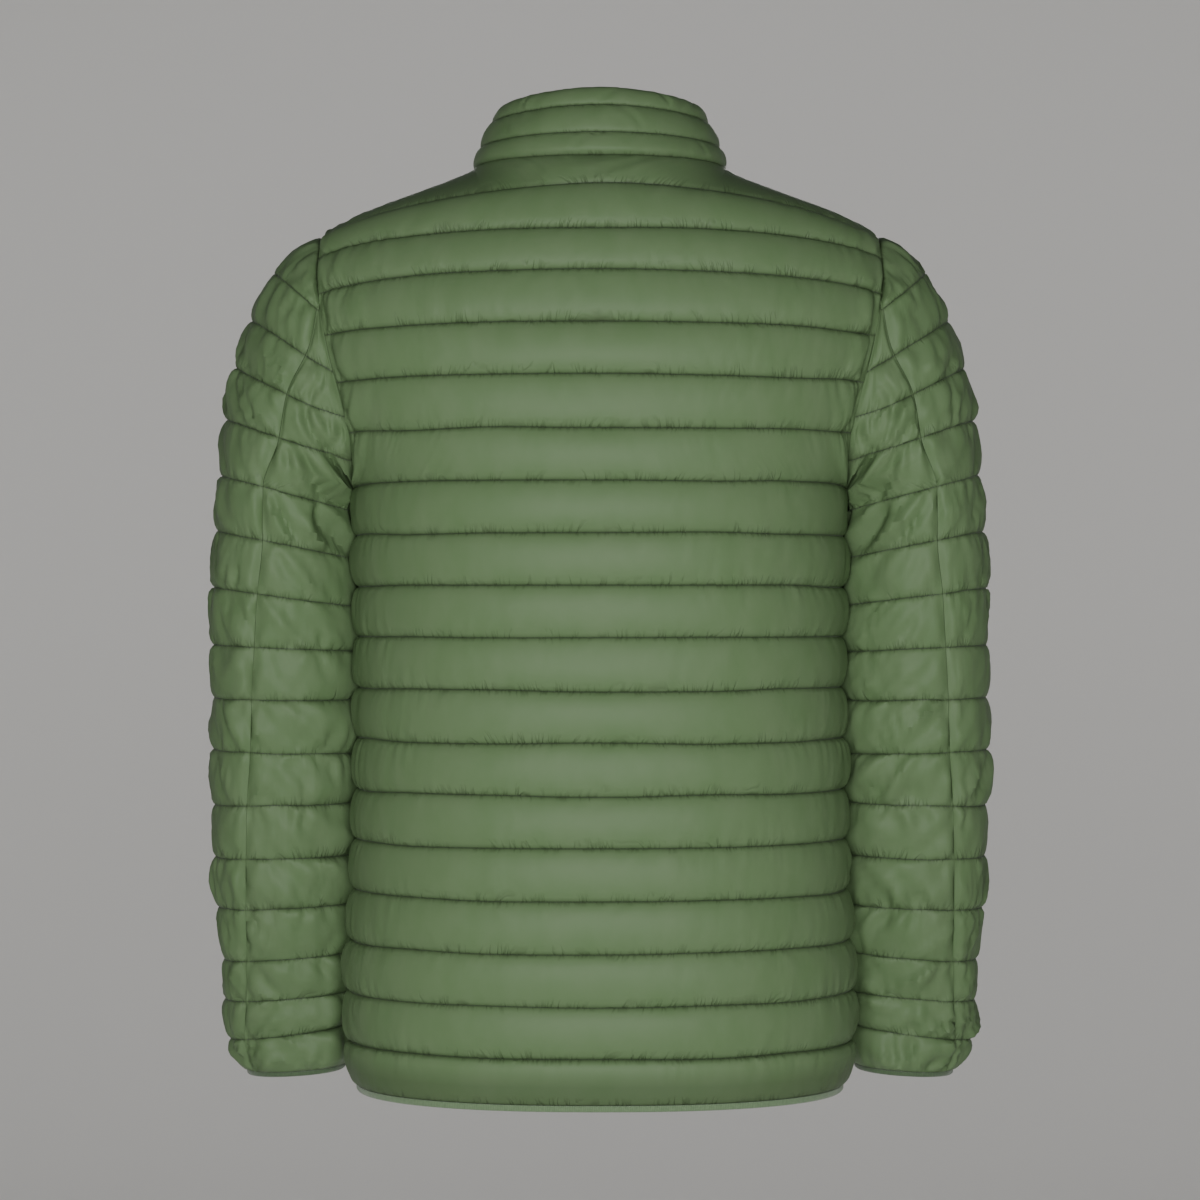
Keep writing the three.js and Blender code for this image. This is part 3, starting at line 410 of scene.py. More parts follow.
def ring_outward(line, angle):
    angle = np.radians(angle)
    wide, tall = sleeve["out_x"](line) - sleeve["in_x"](line), sleeve["out_z"](line) - sleeve["in_z"](line)
    power = 2 / SLEEVE_CURVE * (SLEEVE_CURVE - 1)
    out = signed_power(np.cos(angle), power) / (np.hypot(wide, tall) / 2)
    back = signed_power(np.sin(angle), power) / sleeve["depth"](line)
    tilt = np.arctan2(tall, wide)
    return unit(vec(out * np.cos(tilt), back, out * np.sin(tilt)))


print("the cuff is", SLEEVE[-1]["out_x"] - SLEEVE[-1]["in_x"], "mm wide")

# %% Surfaces of the two sleeve panels
def top_angle(line, share):
    ring = np.maximum(1, line)
    return mix(SEAM_ANGLE - sleeve["front_seam"](ring), sleeve["back_seam"](ring) - SEAM_ANGLE, share)


def clear_of_armhole(turn, side):
    along = armhole_point(turn + 1, side) - armhole_point(np.maximum(0, turn - 1), side)
    clear = unit(np.cross(along, armhole_outward(turn, side)))
    tight = mix(ARMHOLE_GAP, UNDERARM_GAP, clamp01((turn - 120) / 60))
    return clear * np.sign(clear[..., :1]) * tight[..., None]


def sleeve_top_point(line, share):
    line, share = np.broadcast_arrays(line, clamp01(share))
    ring = ring_point(np.maximum(1, line), top_angle(line, share))
    turn = mix(-FORK_TURN, FORK_TURN, share)
    side = np.where(turn < 0, -1, 1)
    start = armhole_point(np.abs(turn), side)
    across = ring - start
    along = unit(across)
    outward = armhole_outward(np.abs(turn), side)
    swell = unit(outward - along * dot(along, outward))
    sag = dot(across, across) / 8 / SHOULDER_ROUND
    cap = start + across * line[..., None] + swell * sag * (4 * line * (1 - line))[..., None]
    return np.where((line < 1)[..., None], cap, ring)


def sleeve_under_point(line, share, side):
    line, share = np.broadcast_arrays(line, clamp01(share))
    seam = sleeve["back_seam" if side > 0 else "front_seam"](line) + SEAM_ANGLE
    place = ring_point(line, side * mix(seam, meets["meet"](line), share))
    level = np.minimum(line, UNDERARM_LINE)
    missed = armhole_point(meets["turn"](level), side) - ring_point(level, side * meets["meet"](level))
    fade = clamp01((FREE_RING - line) / (FREE_RING - UNDERARM_LINE)) ** 2
    place = place + missed * (share**2 * fade)[..., None]
    edge = sleeve_top_point(np.minimum(line, 1), 1.0 if side > 0 else 0.0)
    at_fork = mix(edge, armhole_point(mix(FORK_TURN, meets["turn"](1), clamp01(line)), side), share)
    return np.where((line < 1)[..., None], at_fork, place)


print("sleeve top starts at", sleeve_top_point(np.array([0.0]), np.array([0.5])).round().tolist())

# %% [markdown]
# ## Collar
# The stand collar is a band of three channels. It leans in from the neck seam to its top edge, bows out a
# little on the way, and meets the zip in front.

# %% Surface of the collar
COLLAR_LINES, COLLAR_BOW, COLLAR_ARCH_POWER = 3, 2.6, 1.8
COLLAR_RISE = [0, 0.345, 0.74, 1]
TOP_HALF_WIDTH, TOP_BACK, TOP_FRONT = 72, 60, 94
TOP_BACK_HEIGHT, TOP_SIDE_HEIGHT, TOP_FRONT_HEIGHT = 53.5, 46, 8


def collar_point(line, share):
    line, share = np.broadcast_arrays(clamp01(np.asarray(line) / 3) * 3, clamp01(share))
    height = np.interp(line, range(COLLAR_LINES + 1), COLLAR_RISE)
    sine, cosine = neck_round(share)
    arch = mix(TOP_BACK_HEIGHT, TOP_SIDE_HEIGHT, sine**COLLAR_ARCH_POWER)
    back = vec(TOP_HALF_WIDTH * sine, TOP_BACK * cosine, arch)
    dip = mix(TOP_SIDE_HEIGHT, TOP_FRONT_HEIGHT, sine**NECK_DROP_POWER)
    ahead = vec(mix(ZIP_HALF_GAP, TOP_HALF_WIDTH, cosine), -TOP_FRONT * sine, dip)
    top = np.where((share < 0.5)[..., None], back, ahead)
    bottom = neck_point(share)
    outward = unit(vec(bottom[..., 0] / NECK_HALF_WIDTH, bottom[..., 1] / NECK_BACK, 0))
    return mix(bottom, top, height) + outward * (COLLAR_BOW * 4 * height * (1 - height))[..., None]


print("collar top at the back:", collar_point(3.0, 0.0).round(1).tolist())

# %% [markdown]
# ## Filling, gathers and creases
# Filling bulges each channel between its two lines, steeply beside the stitching and flatly on top. Sewing
# shortens the thread a little, so the nylon beside each line gathers into small ridges that fade out within
# a centimetre, and broader folds run on across the channel. They need no simulation: noise that is
# stretched along the folds and turned into round ridges with sharp troughs looks as uneven, and its seeds
# make it come out the same on every run. Main creases are listed one by one, each as a soft trough from one
# place on a panel to another.

# %% Noise, gathers and folds
SEAM_WALL, PUFF_POWER, THINNEST = 2.2, 0.5, 1
LATTICE, SOFT_TROUGH, RIDGE_MIDDLE, LAST_CHANNEL_SKEW, STRAY = 61, 0.004, 0.4, 0.6, 0.05


def cloth_noise(u, v, seed):
    lattice = np.random.default_rng(seed).random((LATTICE, LATTICE))
    u, v = np.broadcast_arrays(u, v)
    i, j = np.floor(u).astype(int), np.floor(v).astype(int)
    s, t = smooth(u - i), smooth(v - j)
    corner = lambda a, b: lattice[(i + a) % LATTICE, (j + b) % LATTICE]
    return mix(mix(corner(0, 0), corner(1, 0), s), mix(corner(0, 1), corner(1, 1), s), t)


def ridged(noise):
    return np.sqrt((2 * noise - 1) ** 2 + SOFT_TROUGH) - RIDGE_MIDDLE


def lift_of(line):
    t = line % 1
    t = np.where(line > HEM_LINE - 1, t**LAST_CHANNEL_SKEW, t)
    return np.maximum(0, 4 * t * (1 - t)) ** PUFF_POWER


def gathered(away, along, key, seed, depth, reach, length):
    lean = 2.4 * (cloth_noise(along / 45, key * 3.1, seed + 5) - 0.5)
    ripple = ridged(cloth_noise((along + lean * away) / length, key * 5.3, seed))
    uneven = clamp01(1.9 * cloth_noise(along / 34, key * 1.7 + 4, seed + 6) - 0.3)
    return depth * uneven * ripple * (away / reach) * np.exp(1 - away / reach)


def gathers(line, along, seed, depth, reach, length):
    nearest = np.round(line)
    off = line - nearest
    key = nearest + np.where(off > 0, 0.07, 0)
    return gathered(np.abs(off) * QUILT_PITCH, along, key, seed, depth, reach, length)


def folds(line, along, seed, length, depth, slant):
    channel = np.floor(line)
    t = line - channel
    lean = slant + 0.9 * (cloth_noise(along / 110, channel * 3.7, seed + 1) - 0.5)
    place = (along - lean * (t - 0.5) * QUILT_PITCH) / length
    deep = clamp01(1.7 * cloth_noise(along / 60 + 9, channel * 2.3, seed + 2) - 0.2)
    return depth * deep * ridged(cloth_noise(place, channel * 7.3 + 0.7 * t, seed)) * lift_of(line)


def wander(line, along, seed, last):
    channel = np.floor(line)

    def stray(k):
        return STRAY * (cloth_noise(along / 62, k * 4.1, seed) - 0.5) * ((k > 0) & (k < last))

    return mix(stray(channel), stray(channel + 1), line - channel)


def skins(inner, outward, lift):
    """The lining and the nylon. A deep fold takes the lining in with it."""
    sunk = np.minimum(0, SEAM_WALL + lift - THINNEST)
    inner = inner + outward * sunk[..., None]
    return inner, inner + outward * np.maximum(SEAM_WALL + lift, THINNEST)[..., None]


def crease(across, down, start, end, width, depth):
    start, end = np.array(start, float), np.array(end, float)
    run = end - start
    length = np.linalg.norm(run)
    s = ((across - start[0]) * run[0] + (down - start[1]) * run[1]) / length**2
    off = ((across - start[0]) * run[1] - (down - start[1]) * run[0]) / length
    bend = off + 0.12 * length * np.sin(np.pi * clamp01(s)) * np.sign(run[0] * run[1] + 0.01)
    taper = np.sqrt(clamp01(4 * s * (1 - s)))
    trough = np.exp(-((bend / width) ** 2)) - 0.45 * np.exp(-(((np.abs(bend) - 1.7 * width) / width) ** 2))
    return -depth * taper * trough


# %% [markdown]
# ## From a surface to a quilted wall
# A grid of the right number of steps is extruded once, which gives a closed wall with an inner side, an
# outer side and rims. Its points are then moved: the inner ones onto the plain lining, the outer ones onto
# the puffed nylon. The panel keeps how far across and how far down each point is as a UV map, so that the
# weave and the fine wrinkles follow the cloth.

# %% Make a wall from a grid
PANEL_MAP, SHARP = "panel", math.radians(50)


def grid_index(vertex, counts):
    x, y = vertex.co.x + 0.5, vertex.co.y + 0.5
    return round(y * (counts[0] - 1)), round(x * (counts[1] - 1))


def is_rim(face, index, keep_open):
    places = [index[v] for v in face.verts]
    return all(keep_open(r, c) for r, c in places)


def add_wall(bm, wall, side=1, keep_open=None):
    inner, outer, uv = wall
    counts = inner.shape[:2]
    layer = bm.loops.layers.uv.get(PANEL_MAP) or bm.loops.layers.uv.new(PANEL_MAP)
    start = set(bm.verts)
    bmesh.ops.create_grid(bm, x_segments=counts[1] - 1, y_segments=counts[0] - 1, size=0.5)
    inside = [v for v in bm.verts if v not in start]
    faces = [f for f in bm.faces if f.verts[0] not in start]
    made = bmesh.ops.extrude_face_region(bm, geom=faces, use_keep_orig=True)["geom"]
    outside = [v for v in made if isinstance(v, bmesh.types.BMVert)]
    both = {f for f in made if isinstance(f, bmesh.types.BMFace)} | set(faces)
    index = {v: grid_index(v, counts) for v in inside + outside}
    if keep_open:
        new = [f for f in bm.faces if f.verts[0] in index and f not in both]
        bmesh.ops.delete(bm, geom=[f for f in new if is_rim(f, index, keep_open)], context="FACES_ONLY")
    on_skin = {v: outer for v in outside} | {v: inner for v in inside}
    for v, (r, c) in index.items():
        x, y, z = on_skin[v][r, c] * MM
        v.co = (side * x, y, z)
        for loop in v.link_loops:
            loop[layer].uv = uv[r, c]
    for face in faces:
        face.material_index = 1


def finish_mesh(name, bm, materials):
    bmesh.ops.remove_doubles(bm, verts=bm.verts, dist=1e-7)
    bmesh.ops.delete(bm, geom=[e for e in bm.edges if not e.link_faces], context="EDGES")
    bmesh.ops.recalc_face_normals(bm, faces=bm.faces)
    if bm.calc_volume(signed=True) < 0:
        bmesh.ops.reverse_faces(bm, faces=bm.faces)
    mesh = bpy.data.meshes.new(name)
    bm.to_mesh(mesh)
    bm.free()
    mesh.shade_smooth()
    mesh.set_sharp_from_angle(angle=SHARP)
    for material in materials:
        mesh.materials.append(material)
    mesh.calc_loop_triangles()
    print(name, len(mesh.loop_triangles), "triangles")
    return add_object(name, mesh)


def make_panel(name, wall, materials, side=1, keep_open=None):
    bm = bmesh.new()
    add_wall(bm, wall, side, keep_open)
    return finish_mesh(name, bm, materials)


# %% [markdown]
# ## Shader maths as plain expressions
# Node trees are hard to read when every sum is three lines. A small class wraps a socket, so that adding
# or multiplying it adds the Math node, and one method makes any other node from its settings and inputs.
# Small finishes whose colour follows one fine noise all come from the same few lines.

# %% A socket that can be added and multiplied
class Number:
    def __init__(self, finish, socket):
        self.finish, self.socket = finish, socket

    def maths(self, operation, first, second):
        return self.finish.node("ShaderNodeMath", {"operation": operation}, {0: first, 1: second})

    def __add__(self, other):
        return self.maths("ADD", self, other)

    def __sub__(self, other):
        return self.maths("SUBTRACT", self, other)

    def __rsub__(self, other):
        return self.maths("SUBTRACT", other, self)

    def __mul__(self, other):
        return self.maths("MULTIPLY", self, other)

    def __pow__(self, other):
        return self.maths("POWER", self, other)

    def less(self, other):
        return self.maths("MINIMUM", self, other)

    def more(self, other):
        return self.maths("MAXIMUM", self, other)

    def size(self):
        return self.maths("ABSOLUTE", self, 0)

    __radd__, __rmul__ = __add__, __mul__


class Finish:
    def __init__(self, name, **values):
        self.material = bpy.data.materials.new(name)
        self.material.use_nodes = True
        self.nodes, self.links = self.material.node_tree.nodes, self.material.node_tree.links
        self.shader = self.nodes["Principled BSDF"]
        for socket, value in values.items():
            self.shader.inputs[socket.replace("_", " ")].default_value = value

    def node(self, kind, settings=(), sockets=(), output=0):
        made = self.nodes.new(kind)
        for key, value in dict(settings).items():
            setattr(made, key, value)
        for key, value in dict(sockets).items():
            if isinstance(value, Number):
                self.links.new(value.socket, made.inputs[key])
            else:
                made.inputs[key].default_value = value
        return Number(self, made.outputs[output])

    def feed(self, name, value):
        self.links.new(value.socket, self.shader.inputs[name])

    def place(self):
        return self.node("ShaderNodeTexCoord", output=3)

    def noise(self, place, scale, detail):
        return self.node("ShaderNodeTexNoise", {}, {"Vector": place, "Scale": scale, "Detail": detail})

    def blend(self, share, first, second):
        return self.node("ShaderNodeMix", {"data_type": "RGBA"}, {0: share, 6: first, 7: second}, 2)

    def bump(self, strength, distance, height):
        sockets = {"Strength": strength, "Distance": distance, "Height": height}
        self.feed("Normal", self.node("ShaderNodeBump", sockets=sockets))


def make_grained(name, scale, detail, colours, spread=0, bump=0, **values):
    finish = Finish(name, **values)
    grain = finish.noise(finish.place(), scale, detail)
    finish.feed("Base Color", finish.blend(grain, *colours))
    if spread:
        finish.feed("Roughness", values["Roughness"] + grain * spread)
    if bump:
        finish.bump(bump, 0.0002, grain)
    return finish.material


print("a finish is made as Finish(name, Roughness=0.5)")

# %% [markdown]
# ## Nylon
# The shell is a thin, tightly woven nylon with a satin face, paler in soft patches. Its weave is far finer
# than a pixel, so it is only a faint bump. The thread draws the nylon into wrinkles finer than the mesh, so
# these are bump, with painted shade in their troughs. They run further up from a stitching line than down
# from it. Painted shade also darkens the colour in the groove at each stitching line, and below line 18,
# where the last channel turns under and away from the light.

# %% Nylon and lining
# The third colour of each list is painted shade, mixed in by the wrinkle, stitching-groove and last-channel
# masks.
SHELL = [(0.11, 0.19, 0.079, 1), (0.15, 0.218, 0.113, 1), (0.05, 0.075, 0.034, 1)]
LINING = [(0.03, 0.05, 0.025, 1), (0.04, 0.065, 0.032, 1), (0.015, 0.025, 0.012, 1)]
WRINKLES_PER_METRE, WRINKLE_SHARPNESS, SEAM_SHADE_POWER, DEEPEST_PAINTED_SHADE = 210, 9, 26, 0.85


def make_nylon(name, deep, pale, shade, rough):
    nylon = Finish(name, Roughness=rough, Specular_IOR_Level=0.2)
    uv = nylon.node("ShaderNodeUVMap", {"uv_map": PANEL_MAP})
    across = nylon.node("ShaderNodeSeparateXYZ", sockets={0: uv}, output=0)
    down = nylon.node("ShaderNodeSeparateXYZ", sockets={0: uv}, output=1)
    t = nylon.node("ShaderNodeMath", {"operation": "FRACT"}, {0: down})
    channel = down - t

    def noise(x, y, detail=2):
        return nylon.noise(nylon.node("ShaderNodeCombineXYZ", sockets={0: x, 1: y, 2: 0.5}), 1, detail)

    reach = noise(across * 75, channel * 3.3 + 1, 1)
    above = ((t - 0.98 + reach * 0.34) * 4).more(0).less(1)
    below = ((reach * 0.16 - t + 0.02) * 6).more(0).less(0.6)
    lean = noise(across * 28, channel * 5.7 + 2, 1) - 0.5
    pucker = noise(across * WRINKLES_PER_METRE + lean * t * 16, channel * 7.1 + t * 1.4)
    # Painted shade: the wrinkle troughs darken the colour as well as the bump.
    trough = (1 - (pucker * 2 - 1).size() * WRINKLE_SHARPNESS).more(0) * (above + below)
    soft = noise(across * 60, down * 1.2, 3)
    # Painted shade in the groove at each stitching line.
    seam = ((t - 0.5).size() * 2) ** SEAM_SHADE_POWER
    # Painted shade on the lower part of the last channel, which turns down away from the light.
    hem = ((down - 18.2) * 1.1).more(0).less(0.42)
    # All the painted shade together, with a cap on how dark it gets.
    painted_shade_share = (trough * 0.5 + seam * 0.7 + hem).less(DEEPEST_PAINTED_SHADE)
    nylon.feed("Base Color", nylon.blend(painted_shade_share, nylon.blend(soft * 0.9, deep, pale), shade))
    nylon.feed("Roughness", rough - 0.05 + soft * 0.1)
    sockets = {"Vector": uv, "Scale": 520, "Distortion": 0.6}
    weave = nylon.node("ShaderNodeTexWave", {"bands_direction": "X"}, sockets)
    nylon.bump(0.8, 0.0011, weave * 0.01 + soft * 0.3 - trough * 0.7)
    return nylon.material


nylon = make_nylon("green_nylon", *SHELL, 0.53)
lining = make_nylon("lining_nylon", *LINING, 0.5)
cloths = [nylon, lining]
print("nylon is", SHELL[0][:3], "in linear colour")

# %% [markdown]
# ## The back panel
# The back runs over the shoulders from seam to seam and down to the hem in one piece. Its filling thins out
# towards the armholes and side seams, and is pressed flat where the sleeve lies against it.

# %% Fade the filling at seams
BODY_PUFF, SLEEVE_PUFF, COLLAR_PUFF, FADE = 5.8, 3.8, 3.6, 0.06


def seam_fade(distance, reach):
    return 1 - (1 - clamp01(distance / reach)) ** 2


def puffed(line, across, puff, seed):
    slow = cloth_noise(across / 120, line * 0.9, seed) + cloth_noise(across / 45, line * 1.3, seed + 1)
    return puff * lift_of(line) * (0.85 + 0.3 * slow / 2)


def hump(distance, width):
    return np.exp(-((distance / width) ** 2))


def tucked(to_end, edge, ridge):
    """A hollow beside a seam and a ridge further in, where the filling ends."""
    return ridge * hump(to_end - edge - 14, 8) - 2 * ridge * hump(to_end - edge, 6)


def creases(line, across, width, table):
    total = np.zeros_like(across)
    for row in table:
        ends = []
        for end in "01":
            at = row["line_" + end]
            ends.append((row["share_" + end] * np.interp(at, line[:, 0], width[:, 0]), at * QUILT_PITCH))
        total += crease(across, line * QUILT_PITCH, *ends, row["width"], row["depth"])
    return total


def mirrored_by(signed):
    return vec(np.where(signed < 0, -1, 1), 1, 1)


# %% Body walls
BACK_CREASES = rows(
    "line_0 share_0 line_1 share_1 width depth",
    (0.15, -0.12, 0.8, 0.1, 3.5, 1.2),
    (0.35, 0.14, 0.9, 0.3, 3, 1),
    (4.1, -0.97, 5.0, -0.88, 4, 2.2),
    (4.3, 0.98, 5.0, 0.9, 4, 2),
    (5.1, -0.99, 5.95, -0.9, 4, 2.6),
    (5.1, 0.99, 5.9, 0.91, 4, 2.4),
    (6.1, -0.98, 6.8, -0.92, 3, 2),
    (6.1, 0.98, 6.8, 0.93, 3, 2),
    (14.2, -0.95, 14.8, -0.88, 3, 1.4),
    (16.2, -0.9, 16.85, -0.78, 3, 1.4),
    (17.15, -0.93, 17.8, -0.84, 3.5, 1.6),
    (16.3, 0.95, 16.9, 0.86, 3, 1.4),
    (17.2, 0.8, 17.8, 0.7, 3, 1.1),
    (15.2, 0.93, 15.8, 0.88, 3, 1.3),
)
FRONT_CREASES = rows(
    "line_0 share_0 line_1 share_1 width depth",
    (3.1, 0.93, 3.9, 0.86, 4, 1.6),
    (5.1, 0.98, 5.9, 0.88, 4, 2.4),
    (6.1, 0.98, 6.8, 0.9, 3, 2),
    (9.1, 0.04, 9.8, 0.13, 3, 1.3),
    (13.2, 0.03, 13.8, 0.11, 3, 1.2),
    (16.2, 0.92, 16.9, 0.8, 3, 1.4),
    (17.2, 0.3, 17.8, 0.2, 3.5, 1.2),
)


MIDDLE_REACH, MIDDLE_ROUNDS = 0.1, 60


def pressed_middle(points, signed):
    soft = points.copy()
    for _ in range(MIDDLE_ROUNDS):
        soft[:, 1:-1] = (soft[:, :-2] + 2 * soft[:, 1:-1] + soft[:, 2:]) / 4
    return mix(soft, points, smooth(np.abs(signed) / MIDDLE_REACH)[..., None])


def body_wall(lines, shares, side, seed, table):
    line, signed = np.meshgrid(lines, shares, indexing="ij")
    share = np.abs(signed)
    whole = np.meshgrid(lines, np.linspace(0, 1, 60), indexing="ij")
    width = along_rows(body_point(*whole, side))[:, -1:]
    to_end, to_start = (1 - share) * width, share * width
    settled = smooth(to_end / 35) * (smooth(to_start / 20) if side < 0 else 1)
    strayed = line + settled * wander(line, np.sign(signed) * share * width, seed + 20, HEM_LINE)
    inner = body_point(strayed, share, side)
    hint = inner * LEVEL + vec(0, 0, np.where(line < 3, 60, 0))
    outward = outward_of(lambda l, s: body_point(l, s, side), strayed, share, hint)
    below = line > UNDERARM_AT
    end_way = np.where(below[..., None], vec(1, 0, 0), armhole_outward(body["turn"](line), side))
    top_way = np.broadcast_to(unit(vec(0.3, 0, 0.95)), inner.shape)
    if side > 0:
        at_neck = (share <= NECK_SHARE)[..., None]
        top_way = np.where(at_neck, neck_outward(share / NECK_SHARE / 2), top_way)
    outward = turned_to(outward, top_way, line * QUILT_PITCH)
    outward = turned_to(outward, unit(outward * LEVEL), (HEM_LINE - line) * QUILT_PITCH)
    if side < 0:
        neck_way = neck_outward((1 + line / NECK_LINES) / 2)
        edge_way = np.where((line < NECK_LINES)[..., None], neck_way, unit(outward * UPRIGHT))
        outward = turned_to(outward, edge_way, to_start)
    outward = turned_to(outward, end_way, to_end)
    side_gap = np.where(line >= UNDERARM_AT, smooth(1 - to_end / 4), 0)
    inner[..., 1] += side * 0.15 * np.maximum(smooth(1 - line * QUILT_PITCH / 4), side_gap)
    pressed = 1 - 0.5 * clamp01(1 - np.abs(line - 7.3)) * clamp01((share - 0.8) / 0.12)
    opened = seam_fade(share, FADE) if side < 0 else 1
    puff = BODY_PUFF * seam_fade(1 - share, FADE) * opened * pressed * np.where(line < 1, 0.6, 1)
    across = np.sign(signed) * share * width
    near_end = smooth(1 - to_end / np.where(line < UNDERARM_AT, 80, 55))
    lift = puffed(line, across, puff, seed)
    lift += creases(line, across, width, table) * lift_of(line)
    lift += folds(line, across, seed + 30, 12, mix(0.5, 4, near_end), np.sign(signed) * 0.4 * near_end)
    lift += gathers(line, across, seed + 60, mix(1.5, 3, near_end), 4, 5.5)
    lift += gathered(to_end, line * QUILT_PITCH, 0, seed + 90, 2.2, np.where(line < 4, 9, 6), 8)
    at_sleeve = smooth(line - 2.5) * smooth(8 - line) + 0.45 * smooth(line - 7.5)
    uneven = 0.5 + cloth_noise(line * 0.8, np.sign(signed), seed + 44)
    lift += tucked(to_end, 9, 2.3 * at_sleeve * uneven) * lift_of(line)
    lift *= smooth(to_end / 3) * (smooth(to_start / 3) if side < 0 else 1)
    inner, outward = inner * mirrored_by(signed), outward * mirrored_by(signed)
    if side > 0:
        inner, outward = pressed_middle(inner, signed), unit(pressed_middle(outward, signed))
    inner, outer = skins(inner, outward, lift)
    return inner, outer, np.stack([across * MM, line], axis=-1)


BODY_ROWS = rows_between(0, HEM_LINE, 10)
back_wall = body_wall(BODY_ROWS, np.linspace(-1, 1, 227), 1, 100, BACK_CREASES)
back = make_panel("quilted_back", back_wall, cloths)

# %% [markdown]
# ## The fronts
# The photo shows only the back, so the fronts are finished plainly with the same lines. They are one
# surface and its mirror image, with their gathers seeded apart, because no two sewn lines gather alike.

# %% Fronts
front_walls = {}
for name, side, seed in (("left", 1, 300), ("right", -1, 400)):
    front_walls[name] = body_wall(BODY_ROWS, np.linspace(0, 1, 109), -1, seed, FRONT_CREASES)
    make_panel("quilted_front_" + name, front_walls[name], cloths, side)

# %% [markdown]
# ## The sleeves
# The outer panel bends over the upper arm, so its nylon falls into diagonal creases that run down towards
# the back seam, and the elastic at the cuff draws the last channels into folds. The under panel lies
# against the body and has deep creases below the underarm. Below there its inner side stands a little
# closer to the body than the arm inside would hold it, so that no light shows between the two.

# %% Sleeve walls
TOP_CREASES = rows(
    "line_0 share_0 line_1 share_1 width depth",
    (0.2, 0.86, 0.75, 0.74, 3, 1.2),
    (1.15, 0.9, 1.8, 0.78, 3.5, 1.5),
    (2.15, 0.62, 2.85, 0.8, 4, 1.4),
    (2.3, 0.82, 2.9, 0.95, 3, 1.6),
    (3.1, 0.55, 3.9, 0.66, 4, 1.8),
    (3.15, 0.68, 3.9, 0.84, 4.5, 2.4),
    (3.3, 0.8, 3.95, 0.96, 3.5, 2.2),
    (4.1, 0.6, 4.9, 0.74, 5, 2),
    (4.2, 0.76, 4.85, 0.9, 3.5, 1.6),
    (5.1, 0.58, 5.9, 0.7, 5, 2.2),
    (5.15, 0.72, 5.9, 0.88, 4, 1.8),
    (6.1, 0.66, 6.9, 0.78, 5, 1.8),
    (7.2, 0.6, 7.8, 0.72, 4, 1.4),
    (7.3, 0.84, 7.9, 0.95, 3, 1.6),
    (8.2, 0.7, 8.85, 0.82, 4, 1.6),
    (10.15, 0.78, 10.9, 0.9, 4, 1.6),
    (12.2, 0.66, 12.8, 0.8, 4, 1.5),
    (13.2, 0.84, 13.8, 0.94, 3, 1.5),
    (3.2, 0.3, 3.9, 0.16, 4, 1.8),
    (5.2, 0.34, 5.9, 0.2, 4.5, 1.8),
    (8.2, 0.3, 8.8, 0.18, 4, 1.4),
    (11.2, 0.26, 11.8, 0.14, 4, 1.4),
)
UNDER_CREASES = rows(
    "line_0 share_0 line_1 share_1 width depth",
    (3.15, 0.3, 3.9, 0.55, 3.5, 2),
    (3.1, 0.7, 3.9, 0.8, 3, 1.6),
    (2.3, 0.62, 3.9, 0.5, 3.5, 3.4),
    (3.2, 0.9, 3.95, 0.66, 4, 4.5),
    (4.02, 0.3, 4.98, 0.74, 7, 8),
    (4.05, 0.12, 5.05, 0.4, 4, 4),
    (5.02, 0.42, 5.98, 0.86, 7, 8),
    (5.05, 0.06, 6.05, 0.5, 4.5, 4.5),
    (6.15, 0.12, 6.9, 0.4, 4, 2),
    (7.15, 0.2, 7.9, 0.44, 4, 1.8),
    (8.2, 0.1, 8.85, 0.36, 3.5, 1.6),
    (10.2, 0.14, 10.85, 0.4, 4, 1.6),
    (12.15, 0.1, 12.85, 0.34, 4, 1.8),
    (14.2, 0.12, 14.8, 0.3, 3, 1.4),
)


def cuff_gather(line, across, seed):
    drawn = smooth((line - 13.5) / 2.5)
    lean = 0.25 * (line - SLEEVE_END)
    ripple = ridged(cloth_noise(across / 13 + lean, line * 0.35, seed + 51))
    return 3.4 * drawn * ripple * lift_of(line) ** 0.7


def sleeve_top_wall(lines, shares, seed):
    line, share = np.meshgrid(lines, shares, indexing="ij")
    edge = np.minimum(share, 1 - share)
    width = along_rows(sleeve_top_point(line, share))[:, -1:]
    centred = (share - 0.5) * width
    line_at = line + wander(line, centred, seed + 20, SLEEVE_END) * smooth(edge * width / 25)
    inner = sleeve_top_point(line_at, share)
    outward = ring_outward(np.maximum(1, line_at), top_angle(line_at, share))
    turn = mix(-FORK_TURN, FORK_TURN, share)
    side = np.where(turn < 0, -1, 1)
    seam_way = armhole_outward(np.abs(turn), side)
    outward = unit(mix(outward, seam_way, clamp01(1 - line / ARMHOLE_BLEND) * (line < 1)))
    inner = inner + clear_of_armhole(np.abs(turn), side) * smooth(1 - line * QUILT_PITCH / 4)[..., None]
    puff = SLEEVE_PUFF * seam_fade(edge, 0.05)
    lift = puffed(line, centred, puff, seed)
    lift += creases(line, centred + width / 2, width, TOP_CREASES) * lift_of(line)
    slant = 0.8 * smooth((line - 1) / 2) * np.clip(centred / 45, -1, 1)
    lift += folds(line, centred, seed + 30, 10, 6, slant)
    lift += folds(line, centred, seed + 35, 6, 2.2, slant)
    lift += gathers(line, centred, seed + 60, 3, 4, 5.5)
    lift += gathers(line, centred, seed + 75, 4, 8, 13)
    lift += gathered(edge * width, line * QUILT_PITCH, 0, seed + 90, 3.4, 6, 8)
    lift += cuff_gather(line, centred, seed)
    lift *= smooth(edge * width / 3)
    inner, outer = skins(inner, outward, lift)
    return inner, outer, np.stack([centred * MM, line], axis=-1)


BESIDE_UNDERARM, BESIDE_BODY, UNDER_COLUMNS = 13, 6, 45


def armpit_hollow(line, to_end):
    """The deep fold that runs down beside the armhole and into the gap below it."""
    middle = mix(24, 5, clamp01((line - 3.8) / 1.7))
    run = smooth((line - 3.4) / 0.7) * smooth((6.9 - line) / 0.8)
    return 11 * run * (0.4 + 0.6 * lift_of(line)) * hump(to_end - middle, 5)


